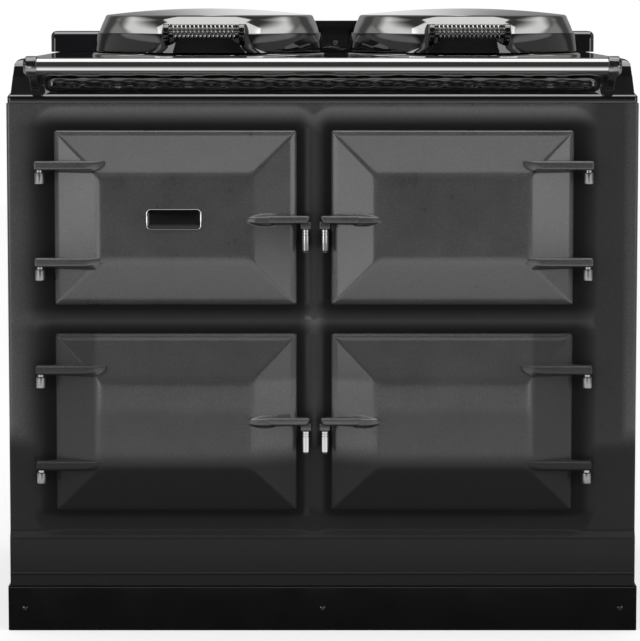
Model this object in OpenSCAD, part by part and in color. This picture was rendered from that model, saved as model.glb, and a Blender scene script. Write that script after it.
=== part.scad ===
// Cast iron heat-storage range cooker with four doors, two round hotplates under
// sprung-handle lids, and a chrome handrail. Front faces -Y, up is +Z, floor is Z = 0.
// Sizes are millimetres. The origin is the middle of the cooker's footprint on the floor.

/* [Body] */
// Width of the front plate between its left edge and the left doors
left_margin = 74.5; // [66:0.5:90]
// Width of the front plate between the right doors and its right edge
right_margin = 101; // [66:0.5:115]
// Height of the front plate over the upper doors
head_h = 42; // [34:1:60]
// Height of the front plate under the lower doors, over the foot moulding
sill_h = 30; // [28:1:40]
// Height from the top of the front plate to the hob surface
hob_rise = 69; // [66:1:80]
// Thickness of the front plate casting
plate_t = 20; // [17:0.5:26]
// How far the foot moulding stands out from the plate
moulding_out = 6; // [2:0.5:10]
// Height of the foot moulding, without the slope on its top
moulding_h = 73; // [50:1:85]
// Thickness of the side and back panels
panel_t = 6; // [3:0.5:10]
// How far each side panel is set in from the edge of the front plate
panel_inset = 6; // [2:0.5:12]

/* [Plinth] */
// Height of the plinth
plinth_h = 72; // [60:1:90]
// How far the plinth stands out past each side of the front plate
plinth_side_out = 3; // [0:0.5:8]
// How far the plinth stands out from the front plate
plinth_out = 8; // [4:0.5:12]
// Wall of the plinth
plinth_t = 4; // [2:0.5:6]
// Distance of each outer plinth screw from the end of the plinth
plinth_screw_in = 26.5; // [16:0.5:90]
// Diameter of a screw head
screw_head_d = 9; // [7:0.5:12]
// Diameter of a screw shank
screw_d = 5; // [3:0.5:6]
// Thickness of the cast base
base_t = 20; // [14:1:26]
// Diameter of a levelling foot
foot_d = 50; // [36:1:60]

/* [Doors] */
// How far a door laps over its oven at each side
door_lap = 15; // [13:0.5:20]
// How far an upper door laps over its oven above and below
upper_door_lap = 10.5; // [9.5:0.5:14]
// How far a lower door laps over its oven above and below
lower_door_lap = 14; // [9.5:0.5:16]
// Gap between the left and the right doors
column_gap = 53.5; // [52:0.5:70]
// Gap between the lower and the upper doors
row_gap = 45; // [34:1:60]
// Thickness of the rim of a door
rim_t = 12; // [8:0.5:16]
// How far the flat of a door stands out from its rim
door_rise = 21; // [14:0.5:26]
// Width of the bevel from the rim to the flat
bevel_w = 72; // [55:1:85]
// Radius of the edge of the rim
rim_r = 5; // [2:0.5:7]
// Depth of the sunken pocket round a door
pocket_depth = 9; // [5:0.5:11]
// How far the pocket reaches past the edge of a door
pocket_reach = 28; // [18:1:34]
// Thickness of the rope seal behind a door
seal_t = 3.7; // [2:0.1:6]
// Gap between a closed door and its seal
seal_gap = 0.3; // [0.2:0.1:1]

/* [Hinges and latches] */
// Distance of the hinge axis past the edge of a door
hinge_out = 21.5; // [18:0.5:26]
// Radius of the eye of a hinge arm
eye_r = 8; // [7:0.5:9]
// Diameter of a door hinge pin
hinge_pin_d = 7; // [5:0.5:8]
// Radial clearance of every running fit
fit_gap = 0.05; // [0.02:0.01:0.09]
// Height of a hinge arm
hinge_arm_h = 14.5; // [11:0.5:18]
// Height of the fixed barrel under a hinge arm
barrel_h = 15; // [12:0.5:20]
// Gap from a barrel to the arm above it, where the pin shows
barrel_gap = 6.8; // [4:0.2:10]
// Height of the top hinge arm over the middle of an upper door
upper_hinge_up = 83; // [74:0.5:92]
// Height of the top hinge arm over the middle of a lower door
lower_hinge_up = 85.5; // [76:0.5:94]
// Distance between the two hinge arms of a door
hinge_pitch = 151; // [130:1:165]
// Height of the latch arm over the middle of an upper door
upper_latch_up = -1; // [-10:0.5:10]
// Height of the latch arm over the middle of a lower door
lower_latch_up = 4.5; // [-10:0.5:10]
// Height of a latch arm
latch_arm_h = 12; // [9:0.5:15]
// Distance of the roller of a left door past the door's edge
left_roller_out = 14; // [12:0.5:16]
// Distance of the roller of a right door past the door's edge
right_roller_out = 10; // [9:0.5:13]
// Diameter of a latch roller
roller_d = 11; // [9:0.5:13]
// Length of a latch roller
roller_h = 34; // [26:1:40]
// Diameter of the pin of a latch roller
roller_pin_d = 5; // [4:0.5:6]

/* [Ovens] */
// Width inside an oven
oven_w = 349; // [330:1:352]
// Height inside an oven
oven_h = 253; // [236:1:256]
// Depth inside an oven
oven_depth = 489; // [440:1:520]
// Wall of a cast oven
oven_t = 8; // [5:0.5:9]
// Depth of the insulated pack behind a door
pack_depth = 45; // [30:1:50]
// Clearance of a door pack beside the latch
pack_latch_gap = 8; // [7:0.5:12]
// Clearance of a door pack on its other sides
pack_gap = 3; // [2:0.5:6]
// Gap from an oven shelf to the back of its oven
shelf_back_gap = 8; // [3:1:60]
// Diameter of the frame wire of a shelf
shelf_frame_d = 6; // [4:0.5:7]
// Diameter of the thin wires of a shelf
shelf_wire_d = 4; // [3:0.5:5]
// Distance that a shelf slides inside its closed oven
shelf_travel = 28; // [10:1:28]

/* [Handrail] */
// Diameter of the handrail
rail_d = 25; // [20:0.5:30]
// Wall of the handrail
rail_wall = 2; // [1:0.5:4]
// Distance of the rail's axis from the front plate
rail_out = 47.5; // [40:0.5:60]
// Depth of the rail's axis under the hob surface
rail_drop = 10.4; // [6:0.2:20]
// Distance of the face of each rail bracket from the edge of the front plate
rail_inset = 47.5; // [45:0.5:64]
// Diameter of a rail bracket's collar
collar_d = 31; // [30:0.5:36]

/* [Lids] */
// Place of the middle between the two lids
lids_mid_x = 22.75; // [0:0.25:26]
// Gap between the rings of the two hotplates
ring_space = 30.5; // [26:0.5:60]
// Distance of the middle of a lid behind the front plate
lid_back = 330; // [300:1:360]
// How far a lid laps over its hotplate all round
lid_lap = 6.5; // [4:0.5:9]
// Height of a lid's foot over the hob
lid_gap = 6.6; // [6:0.2:9]
// Height of a lid's black band
band_h = 31; // [26:0.5:34]
// Height of a lid's chrome band
chrome_h = 25.5; // [20:0.5:28]
// Rise of the dome over the chrome band
dome_h = 14.5; // [8:0.5:18]
// Wall of the chrome shell of a lid
shell_t = 2.5; // [1.5:0.5:4]
// Distance of a lid's hinge axis behind its foot
lid_hinge_back = 12; // [11:0.5:16]
// Height of a lid's hinge axis over the hob
lid_hinge_up = 33; // [32:0.5:36]
// Diameter of a lid's hinge pin
lid_pin_d = 10; // [7:0.5:11]

/* [Lid handle] */
// Length of the coil of a lid's handle
coil_len = 110; // [90:1:116]
// Outer diameter of the coil
coil_d = 23.5; // [18:0.5:26]
// Diameter of the coil's wire
coil_wire = 2.8; // [2:0.2:3.4]
// Number of curls in one coil
coil_curls = 15; // [10:1:18]
// Distance of the coil's axis in front of the lid
handle_out = 34; // [30:1:40]
// Diameter of the rod inside the coil
handle_rod_d = 12; // [8:1:13]
// Width of an ear that holds the rod
ear_t = 10; // [7:0.5:12]

/* [Hob] */
// Radius of a hotplate
hotplate_r = 183.5; // [165:0.5:190]
// Thickness of the hob casting
hob_t = 16; // [12:1:20]
// Radius of the cove under the front edge of the hob
cove_r = 21; // [16:0.5:22]
// Distance of each end of the cove from the edge of the front plate
cove_inset = 60.5; // [56:0.5:74]
// Height of the upstand behind the hob
upstand_h = 37; // [28:1:45]
// Depth of the upstand
upstand_depth = 63; // [50:1:70]
// Width of the vent box between the lids
vent_w = 215; // [190:1:216]
// Height of the vent box
vent_h = 56; // [50:1:60]
// Depth of the vent box
vent_depth = 99; // [80:1:130]

/* [Controls] */
// Distance of the control panel behind the front plate's back
panel_back = 110; // [100:1:130]
// Distance between two control knobs
knob_pitch = 100; // [70:1:110]
// Diameter of a control knob
knob_d = 44; // [30:1:50]
// Diameter of a knob's shaft
knob_shaft_d = 8; // [6:0.5:10]

/* [Hidden] */
$fn = 64;
eps = 0.01;
reach = 1;            // how far a cutting shape runs past what it cuts
seat = 0.3;           // running gap between pieces of different bodies

// Small fixed sizes of the details
latch_collar_w = 20;
latch_collar_h = 9;
roller_head_h = 2.5;
hinge_arm_proud = 2;  // how far the front of each arm stands out from the flat of its door
latch_arm_proud = 4;
keeper_w = 12;
keeper_h = 24;
keeper_bevel = 2.5;
seal_in = 2;          // from the mouth of an oven to the rope seal round it
seal_w = 7;
mortise = 5;          // how deep a bracket is let into the front plate
barrel_d = 15;
lug_w = 9;
moulding_slope = 16;
vent_gap = 4;         // from the axis of the lid hinges to the vent box
runner_w = 6;
runner_h = 5;
runner_in = 40;       // from the back of the front plate to the front of a runner
shelf_wires = 15;
shelf_side_gap = 1;
shelf_wire_lift = 0.8; // how far the thin wires stand over the middle of the frame
ring_w = 13;
ring_h = 5;
hotplate_h = 25;
hotplate_top_gap = 3.4;
hotplate_gap = 0.5;
hotplate_flange = 7;
element_in = 24;
element_h = 18;
lip_h = 10.5;
lip_in = 2;           // how far the lip is set in from the edge of the front plate
top_in = 5.5;
horn_shoulder_r = 16;
upstand_in = 8.5;
horn_r = 25;
nose_r = 8;
horn_draft = 8;
tongue_w = 60;
cheek_t = 12;
bracket_foot_t = 3;
control_wall = 3;
control_depth = 240;

// Sizes that follow from the driving sizes, from the floor up
door_w = oven_w + 2 * door_lap;
upper_door_h = oven_h + 2 * upper_door_lap;
lower_door_h = oven_h + 2 * lower_door_lap;
plate_w = left_margin + 2 * door_w + column_gap + right_margin;
plinth_w = plate_w + 2 * plinth_side_out;
moulding_z = plinth_h + moulding_h;
lower_door_z = moulding_z + moulding_slope + sill_h;
upper_door_z = lower_door_z + lower_door_h + row_gap;
plate_top_z = upper_door_z + upper_door_h + head_h;
hob_z = plate_top_z + hob_rise;
rail_z = hob_z - rail_drop;

// Places across the front
left_door_x = -plate_w / 2 + left_margin + door_w / 2;
right_door_x = left_door_x + door_w + column_gap;
left_roller_x = left_door_x + door_w / 2 + left_roller_out;
right_roller_x = right_door_x - door_w / 2 - right_roller_out;
rail_half = plate_w / 2 - rail_inset;
cove_half = plate_w / 2 - cove_inset;

// Places from the front to the back
lid_r = hotplate_r + lid_lap;
left_lid_x = lids_mid_x - hotplate_r - ring_w - ring_space / 2;
right_lid_x = lids_mid_x + hotplate_r + ring_w + ring_space / 2;
body_depth = lid_back + lid_r + lid_hinge_back + vent_gap + vent_depth + upstand_depth;
rail_reach = rail_out + max(rail_d, collar_d) / 2;  // how far the rail stands out in front
front_y = (rail_reach - body_depth) / 2;
back_y = front_y + body_depth;
plate_back_y = front_y + plate_t;
panel_x = plate_w / 2 - panel_inset;
inner_back_y = back_y - panel_t;
base_top = plinth_h + base_t;
floor_y = front_y + pocket_depth;              // floor of the pocket round a door
door_back_y = floor_y - seal_t - seal_gap;
rim_front_y = door_back_y - rim_t;
flat_y = rim_front_y - door_rise;
hinge_y = flat_y + eye_r;
roller_y = hinge_y;
lid_y = front_y + lid_back;
lid_foot_z = hob_z + lid_gap;
band_top = lid_foot_z + band_h;
chrome_top = band_top + chrome_h;
lid_hinge_y = lid_y + lid_r + lid_hinge_back;
lid_hinge_z = hob_z + lid_hinge_up;
upstand_y = back_y - upstand_depth;
vent_x = (left_lid_x + right_lid_x) / 2;
control_y = plate_back_y + panel_back;

// Each row of doors: bottom, height, latch height, height of the top hinge arm
UPPER = let (mid = upper_door_z + upper_door_h / 2)
    [upper_door_z, upper_door_h, mid + upper_latch_up, mid + upper_hinge_up];
LOWER = let (mid = lower_door_z + lower_door_h / 2)
    [lower_door_z, lower_door_h, mid + lower_latch_up, mid + lower_hinge_up];
// Each column of doors: middle, side of the hinge, place of the roller
LEFT = [left_door_x, -1, left_roller_x];
RIGHT = [right_door_x, 1, right_roller_x];
CELLS = [[LEFT, UPPER], [RIGHT, UPPER], [LEFT, LOWER], [RIGHT, LOWER]];

function mid_z(row) = row[0] + row[1] / 2;
function hinge_x(col) = col[0] + col[1] * (door_w / 2 + hinge_out);
function arm_zs(row) = [row[3], row[3] - hinge_pitch];
function roller_top(row) = row[2] - latch_arm_h / 2 - latch_collar_h - seat;

// Colours, as the enamel and metal look
ENAMEL = [0.27, 0.27, 0.275];
BLACK = [0.08, 0.08, 0.09];
CHROME = [0.80, 0.80, 0.80];
STEEL = [0.55, 0.55, 0.56];
IRON = [0.23, 0.22, 0.22];
WOOL = [0.78, 0.74, 0.62];
ROPE = [0.55, 0.53, 0.48];

// ---------------------------------------------------------------- helpers

// A box given by its lowest and highest corners
module block(low, high) {
    translate(low) cube(high - low);
}

// A rectangle with round corners, in the plane, round the origin
module round_rect(w, h, r) {
    square([w - 2 * r, h], center = true);
    square([w, h - 2 * r], center = true);
    for (x = [-1, 1], y = [-1, 1])
        translate([x * (w / 2 - r), y * (h / 2 - r)]) circle(r);
}

// Stands a drawing of X and Z up in front of the plane Y = y and runs it forward by t
module facing(y, t) {
    translate([0, y, 0]) rotate([90, 0, 0]) linear_extrude(t) children();
}

// Runs a drawing of Y and Z from X = x0 to X = x1
module along_x(x0, x1) {
    translate([x0, 0, 0]) rotate([90, 0, 90]) linear_extrude(x1 - x0) children();
}

// A cylinder along X, from x0 to x1
module bar_x(x0, x1, y, z, d) {
    translate([x0, y, z]) rotate([0, 90, 0]) cylinder(d = d, h = x1 - x0);
}

// A cylinder along Y, from y0 to y1
module bar_y(x, y0, y1, z, d) {
    translate([x, y1, z]) rotate([90, 0, 0]) cylinder(d = d, h = y1 - y0);
}

// Points of an arc from angle a0 to a1 round c
function arc(c, r, a0, a1, steps) =
    [for (i = [0:steps]) c + r * [cos(a0 + (a1 - a0) * i / steps), sin(a0 + (a1 - a0) * i / steps)]];

// ---------------------------------------------------------------- base and plinth

foot_in_x = 64;
foot_in_front = 80;
foot_in_back = 100;
foot_xs = [-plate_w / 2 + foot_in_x, plate_w / 2 - foot_in_x];
foot_ys = [front_y + foot_in_front, back_y - foot_in_back];
rib_t = 12;
rib_drop = 22;
leg_bottom = 20;
leg_d = 60;
stud_d = 16;
foot_pad_h = 8;

module base_frame() color(IRON) {
    difference() {
        union() {
            block([-panel_x, plate_back_y, plinth_h], [panel_x, back_y, base_top]);
            for (x = foot_xs, y = foot_ys)
                translate([x, y, leg_bottom]) cylinder(d = leg_d, h = plinth_h - leg_bottom + 1);
            // stiffening ribs under the casting
            for (x = foot_xs)
                block([x - rib_t / 2, foot_ys[0], plinth_h - rib_drop],
                      [x + rib_t / 2, foot_ys[1], plinth_h + 1]);
            for (y = foot_ys)
                block([foot_xs[0], y - rib_t / 2, plinth_h - rib_drop],
                      [foot_xs[1], y + rib_t / 2, plinth_h + 1]);
        }
        for (x = foot_xs, y = foot_ys)
            translate([x, y, leg_bottom - reach])
                cylinder(d = stud_d + 2 * fit_gap, h = plinth_h - leg_bottom);
    }
}

module levelling_feet() color(STEEL)
    for (x = foot_xs, y = foot_ys) translate([x, y, 0]) {
        cylinder(d = foot_d, h = foot_pad_h);
        translate([0, 0, foot_pad_h]) cylinder(d = foot_d * 0.6, h = leg_bottom - foot_pad_h);
        cylinder(d = stud_d, h = plinth_h - 10);
    }

plinth_front_y = front_y - plinth_out;
plinth_back_in = 20;
plinth_back_y = back_y - plinth_back_in;
plinth_xs = [plinth_screw_in - plinth_w / 2, 0, plinth_w / 2 - plinth_screw_in];
plinth_screw_h = plinth_h / 2;
plinth_screw_len = 14;
plinth_flange = 36;

module plinth() color(BLACK) difference() {
    block([-plinth_w / 2, plinth_front_y, 0], [plinth_w / 2, plinth_back_y, plinth_h]);
    block([-plinth_w / 2 + plinth_t, plinth_front_y + plinth_t, -reach],
          [plinth_w / 2 - plinth_t, plinth_back_y - plinth_t, plinth_h - plinth_t]);
    block([-plinth_w / 2 + plinth_flange, plinth_front_y + plinth_flange, plinth_h / 2],
          [plinth_w / 2 - plinth_flange, plinth_back_y - plinth_flange, plinth_h + reach]);
    for (x = plinth_xs)
        bar_y(x, plinth_front_y - reach, plinth_front_y + plinth_t + reach, plinth_screw_h,
              screw_d + 2 * fit_gap);
}

screw_head_h = 1.2;

// A round-headed screw along Y whose head rests on the plane Y = y
module screw_y(x, y, z, length) {
    bar_y(x, y - screw_head_h, y, z, screw_head_d);
    bar_y(x, y - 1.8 * screw_head_h, y - screw_head_h, z, screw_head_d * 0.7);
    bar_y(x, y, y + length, z, screw_d);
}

module plinth_screws() color(STEEL)
    for (x = plinth_xs) screw_y(x, plinth_front_y, plinth_screw_h, plinth_screw_len);

// ---------------------------------------------------------------- shell

plate_edge_r = 5;
bead_up = 19;
bead_d = 4;
bead_proud = 1.4;
pocket_floor_out = 6;  // how far the flat floor of a pocket reaches past its door

// The void of the soft pocket round one door, deeper towards the door
module pocket(col, row) {
    steps = 3;
    over = pocket_reach - pocket_floor_out;
    translate([col[0], 0, mid_z(row)]) hull() {
        for (i = [0:steps]) {
            a = 90 * i / steps;
            grow = 2 * (pocket_floor_out + over * cos(a));
            translate([0, front_y + pocket_depth * sin(a), 0]) rotate([90, 0, 0])
                linear_extrude(eps)
                    round_rect(door_w + grow, row[1] + grow, grow / 2 + 2, $fn = 32);
        }
        translate([0, front_y, 0]) rotate([90, 0, 0]) linear_extrude(reach)
            round_rect(door_w + 2 * pocket_reach, row[1] + 2 * pocket_reach, pocket_reach + 2,
                       $fn = 32);
    }
}

// Where a hinge lug is let into the plate
module hinge_mortise(col, z) {
    block([hinge_x(col) - lug_w / 2, front_y - reach, z - barrel_h / 2],
          [hinge_x(col) + lug_w / 2, floor_y + mortise, z + barrel_h / 2]);
}

module front_plate() color(ENAMEL) difference() {
    union() {
        // main slab with round upright edges
        translate([0, 0, plinth_h]) linear_extrude(plate_top_z - plinth_h) difference() {
            translate([0, front_y + plate_t]) round_rect(plate_w, 2 * plate_t, plate_edge_r);
            translate([-plate_w, plate_back_y]) square([2 * plate_w, 2 * plate_t]);
        }
        // foot moulding, with its slope and bead
        intersection() {
            along_x(-plate_w / 2, plate_w / 2) polygon([
                [plate_back_y, plinth_h], [front_y - moulding_out, plinth_h],
                [front_y - moulding_out, moulding_z], [front_y, moulding_z + moulding_slope],
                [plate_back_y, moulding_z + moulding_slope]]);
            translate([0, 0, plinth_h]) linear_extrude(plate_top_z)
                translate([0, front_y - moulding_out + plate_t])
                    round_rect(plate_w, 2 * plate_t, plate_edge_r);
        }
        bar_x(-plate_w / 2 + plate_edge_r, plate_w / 2 - plate_edge_r,
              front_y - moulding_out + bead_d / 2 - bead_proud, plinth_h + bead_up, bead_d);
    }
    for (cell = CELLS) {
        col = cell[0];
        row = cell[1];
        pocket(col, row);
        block([col[0] - oven_w / 2, front_y - reach, mid_z(row) - oven_h / 2],
              [col[0] + oven_w / 2, plate_back_y + reach, mid_z(row) + oven_h / 2]);
        for (z = arm_zs(row)) hinge_mortise(col, z - barrel_drop);
        block([col[2] - keeper_w / 2, front_y - reach, keeper_mid(row) - keeper_h / 2],
              [col[2] + keeper_w / 2, floor_y + mortise, keeper_mid(row) + keeper_h / 2]);
    }
}

module side_panel(side) color(BLACK) {
    x0 = side < 0 ? -panel_x : panel_x - panel_t;
    block([x0, plate_back_y, base_top], [x0 + panel_t, inner_back_y, plate_top_z]);
}
module side_panel_left() side_panel(-1);
module side_panel_right() side_panel(1);

gland_in = 107.5;
gland_up = 60;
gland_x = panel_x - gland_in;
gland_z = base_top + gland_up;
gland_d = 20;
gland_room = 30;
slot_w = 70;
slot_h = 5;
slot_pitch_x = 90;
slot_pitch_z = 16;
slot_drop = 60;
slot_block_x = 260;    // from the middle to the middle of a block of slots

module back_panel() color(BLACK) difference() {
    block([-panel_x, inner_back_y, base_top], [panel_x, back_y, plate_top_z]);
    // ventilation slots in two blocks
    for (x = [-slot_block_x, slot_block_x], row = [0:4])
        translate([x, 0, plate_top_z - slot_drop - slot_pitch_z * row])
            for (k = [-1, 0, 1])
                block([k * slot_pitch_x - slot_w / 2, inner_back_y - reach, 0],
                      [k * slot_pitch_x + slot_w / 2, back_y + reach, slot_h]);
    bar_y(gland_x, inner_back_y - reach, back_y + reach, gland_z, gland_d);
}

module cable_gland() color(BLACK) difference() {
    union() {
        bar_y(gland_x, inner_back_y - 8, back_y, gland_z, gland_d);
        translate([gland_x, inner_back_y, gland_z]) rotate([90, 0, 0]) rotate([0, 0, 30])
            cylinder(d = gland_d * 1.5, h = 5, $fn = 6);
    }
    bar_y(gland_x, inner_back_y - 20, back_y + reach, gland_z, gland_d * 0.5);
}

// ---------------------------------------------------------------- ovens

function outer_box(col, row, wall) = [
    [col[0] - oven_w / 2 - wall, mid_z(row) - oven_h / 2 - wall],
    [col[0] + oven_w / 2 + wall, mid_z(row) + oven_h / 2 + wall]];

module box_void(col, row, wall, depth) {
    b = outer_box(col, row, wall);
    block([b[0][0], plate_back_y - reach, b[0][1]], [b[1][0], plate_back_y + depth, b[1][1]]);
}

module insulation() color(WOOL) difference() {
    block([-panel_x + panel_t, plate_back_y, base_top],
          [panel_x - panel_t, inner_back_y, plate_top_z]);
    for (cell = [[RIGHT, UPPER], [RIGHT, LOWER], [LEFT, LOWER]])
        box_void(cell[0], cell[1], oven_t, oven_depth + oven_t);
    box_void(LEFT, UPPER, control_wall, control_depth + control_wall);
    // room for the cable
    block([gland_x - gland_room, inner_back_y - gland_room, gland_z - gland_room],
          [gland_x + gland_room, inner_back_y + reach, gland_z + gland_room]);
}

runner_zs = [-70, -10, 50];          // heights of the runners from the middle of an oven

module oven(col, row) color(IRON) {
    b = outer_box(col, row, oven_t);
    difference() {
        block([b[0][0], plate_back_y, b[0][1]],
              [b[1][0], plate_back_y + oven_depth + oven_t, b[1][1]]);
        block([b[0][0] + oven_t, plate_back_y - reach, b[0][1] + oven_t],
              [b[1][0] - oven_t, plate_back_y + oven_depth, b[1][1] - oven_t]);
    }
    for (z = runner_zs, side = [-1, 1]) {
        x = col[0] + side * (oven_w / 2 - runner_w / 2);
        block([x - runner_w / 2, plate_back_y + runner_in, mid_z(row) + z - runner_h],
              [x + runner_w / 2, plate_back_y + oven_depth, mid_z(row) + z]);
    }
}
module roasting_oven() oven(RIGHT, UPPER);
module simmering_oven() oven(RIGHT, LOWER);
module baking_oven() oven(LEFT, LOWER);

shelf_pack_gap = 3;    // from a shelf that is slid forward to the pack of the door
shelf_front_y = door_back_y + pack_depth + shelf_pack_gap + shelf_travel;
shelf_back_y = plate_back_y + oven_depth - shelf_back_gap;

// A wire shelf that lies on the runners at height z
module shelf(col, row, z) color(STEEL) {
    half = oven_w / 2 - shelf_side_gap - shelf_frame_d / 2;
    zc = mid_z(row) + z + seat + shelf_frame_d / 2;
    y0 = shelf_front_y + shelf_frame_d / 2;
    y1 = shelf_back_y - shelf_frame_d / 2;
    for (side = [-1, 1])
        bar_y(col[0] + side * half, shelf_front_y, shelf_back_y, zc, shelf_frame_d);
    for (y = [y0, (y0 + y1) / 2, y1])
        bar_x(col[0] - half, col[0] + half, y, zc, shelf_frame_d - 1);
    for (i = [1:shelf_wires])
        bar_y(col[0] - half + 2 * half * i / (shelf_wires + 1), y0, y1,
              zc + shelf_wire_lift, shelf_wire_d);
}
module roasting_shelf() shelf(RIGHT, UPPER, runner_zs[0]);
module simmering_shelf() shelf(RIGHT, LOWER, runner_zs[0]);
module baking_shelf() shelf(LEFT, LOWER, runner_zs[0]);

// ---------------------------------------------------------------- controls

knob_up = 20;
knob_z = mid_z(UPPER) + knob_up;
knob_gap = 1;
knob_h = 26;
thermostat_d = 36;
thermostat_h = 40;
control_panel_t = 3;
knob_xs = [left_door_x - knob_pitch, left_door_x, left_door_x + knob_pitch];

module control_box() color(STEEL) difference() {
    b = outer_box(LEFT, UPPER, control_wall);
    block([b[0][0], plate_back_y, b[0][1]],
          [b[1][0], plate_back_y + control_depth + control_wall, b[1][1]]);
    block([b[0][0] + control_wall, plate_back_y - reach, b[0][1] + control_wall],
          [b[1][0] - control_wall, plate_back_y + control_depth, b[1][1] - control_wall]);
}

module control_panel() color(BLACK) difference() {
    b = outer_box(LEFT, UPPER, 0);
    block([b[0][0], control_y, b[0][1]], [b[1][0], control_y + control_panel_t, b[1][1]]);
    for (x = knob_xs)
        bar_y(x, control_y - reach, control_y + control_panel_t + reach, knob_z,
              knob_shaft_d + 2 * fit_gap);
}

module thermostats() color(STEEL) for (x = knob_xs) difference() {
    bar_y(x, control_y + control_panel_t, control_y + control_panel_t + thermostat_h, knob_z,
          thermostat_d);
    bar_y(x, control_y, control_y + control_panel_t + thermostat_h - 8, knob_z,
          knob_shaft_d + 2 * fit_gap);
}

module knob(x) color(BLACK) {
    y1 = control_y - knob_gap;
    difference() {
        union() {
            bar_y(x, y1 - 5, y1, knob_z, knob_d);
            bar_y(x, y1 - knob_h, y1 - 4, knob_z, knob_d * 0.76);
            // raised pointer
            block([x - 2, y1 - knob_h - 2, knob_z], [x + 2, y1 - knob_h + 2, knob_z + knob_d * 0.34]);
        }
        for (a = [0:30:330])
            translate([x + knob_d * 0.42 * cos(a), 0, knob_z + knob_d * 0.42 * sin(a)])
                rotate([90, 0, 0]) translate([0, 0, -y1 + 5]) cylinder(d = 6, h = knob_h, $fn = 24);
    }
    bar_y(x, y1 - 1, control_y + control_panel_t + thermostat_h - 12, knob_z, knob_shaft_d);
}
module knob_left() knob(knob_xs[0]);
module knob_middle() knob(knob_xs[1]);
module knob_right() knob(knob_xs[2]);

// ---------------------------------------------------------------- doors

// Half of a section across a door: rim, edge, bevel and flat, from the middle to side s
function door_half(half, s) = concat(
    [[s * half, 0]],
    [for (p = arc([half - rim_r, rim_t - rim_r], rim_r, 0, 90, 4)) [s * p[0], p[1]]],
    [for (i = [1:8]) let (t = i / 8) [s * (half - rim_r - 1 - (bevel_w - rim_r) * t),
        rim_t + door_rise * (t - 0.10 * sin(360 * t) / 2)]]);

function reversed(list) = [for (i = [len(list) - 1:-1:0]) list[i]];
function door_section(half) = concat(door_half(half, 1), reversed(door_half(half, -1)));

// A cast arm that grows out of the flat of a door and runs out to x_tip, h high. Its front
// stands proud of the flat, and its underside rises from the rim to the tip.
module door_arm(x_root, x_tip, z, h, proud) {
    s = sign(x_tip - x_root);
    top = -rim_t - door_rise;
    translate([0, 0, z - h / 2]) linear_extrude(h) polygon([
        [x_root, top + 1], [x_root + s * 24, top - proud],
        [x_tip, top - proud], [x_tip, top + 2 * eye_r - 4],
        [x_root + s * bevel_w, -rim_t + 3], [x_root + s * 10, -rim_t + 3]]);
}

// The long oval boss that the latch arm grows out of, on the flat of a door
module latch_root(x_root, x_end, z) {
    s = sign(x_end - x_root);
    hull() for (k = [[0, 2], [20, 8], [46, 9], [66, 6]])
        translate([x_root + s * k[0], -rim_t - door_rise + 3, z - 2]) rotate([90, 0, 0])
            cylinder(r = k[1], h = 5, $fn = 32);
}

module door_casting(col, row) color(ENAMEL)
    translate([col[0], door_back_y, 0]) {
        side = col[1];
        half = door_w / 2;
        zc = mid_z(row);
        hx = side * (half + hinge_out);
        rx = col[2] - col[0];
        flat_edge = half - bevel_w;
        axis_dy = hinge_y - door_back_y;
        difference() {
            union() {
                intersection() {
                    translate([0, 0, row[0]]) linear_extrude(row[1])
                        mirror([0, 1]) polygon(door_section(half));
                    translate([0, 0, zc]) along_x(-half, half)
                        rotate(90) polygon(door_section(row[1] / 2));
                }
                for (z = arm_zs(row)) {
                    door_arm(side * (flat_edge - 16), hx, z, hinge_arm_h, hinge_arm_proud);
                    translate([hx, axis_dy, z - hinge_arm_h / 2])
                        cylinder(r = eye_r, h = hinge_arm_h);
                }
                door_arm(-side * (flat_edge - 34), rx - side * 6, row[2], latch_arm_h, latch_arm_proud);
                latch_root(-side * (flat_edge - 30), -side * half, row[2]);
                // square collar that the roller hangs from
                translate([rx, axis_dy, row[2] - latch_arm_h / 2 - latch_collar_h / 2])
                    cube([latch_collar_w, 2 * eye_r - 4, latch_collar_h + 2 * eps], center = true);
                translate([rx, axis_dy, row[2] - latch_arm_h / 2])
                    cylinder(r = eye_r - 2, h = latch_arm_h);
                // pin of the roller, with its head
                translate([rx, axis_dy, roller_top(row) - roller_h - seat - roller_head_h]) {
                    cylinder(d = roller_pin_d, h = roller_h + 2 * roller_head_h + 2);
                    cylinder(d = roller_pin_d + 3, h = roller_head_h);
                }
            }
            for (z = arm_zs(row))
                translate([hx, axis_dy, z - hinge_arm_h / 2 - reach])
                    cylinder(d = hinge_pin_d + 2 * fit_gap, h = hinge_arm_h - 3 + reach);
        }
    }

// The insulated pan on the back of a door
module door_pack(col, row) color(STEEL) {
    latch_edge = col[0] - col[1] * (oven_w / 2 - pack_latch_gap);
    hinge_edge = col[0] + col[1] * (oven_w / 2 - pack_gap);
    x0 = min(latch_edge, hinge_edge);
    x1 = max(latch_edge, hinge_edge);
    h = oven_h - 2 * pack_gap;
    translate([(x0 + x1) / 2, 0, mid_z(row)]) facing(door_back_y + pack_depth, pack_depth)
        round_rect(x1 - x0, h, 10);
}

module door_roller(col, row) color(CHROME)
    translate([col[2], roller_y, roller_top(row) - roller_h]) difference() {
        cylinder(d = roller_d, h = roller_h);
        translate([0, 0, -reach])
            cylinder(d = roller_pin_d + 2 * fit_gap, h = roller_h + 2 * reach);
        // two turned grooves near the top
        for (z = [roller_h - 5, roller_h - 9]) translate([0, 0, z]) difference() {
            cylinder(d = roller_d + 1, h = 1.2);
            translate([0, 0, -eps]) cylinder(d = roller_d - 1.4, h = 1.2 + 2 * eps);
        }
    }

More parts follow.
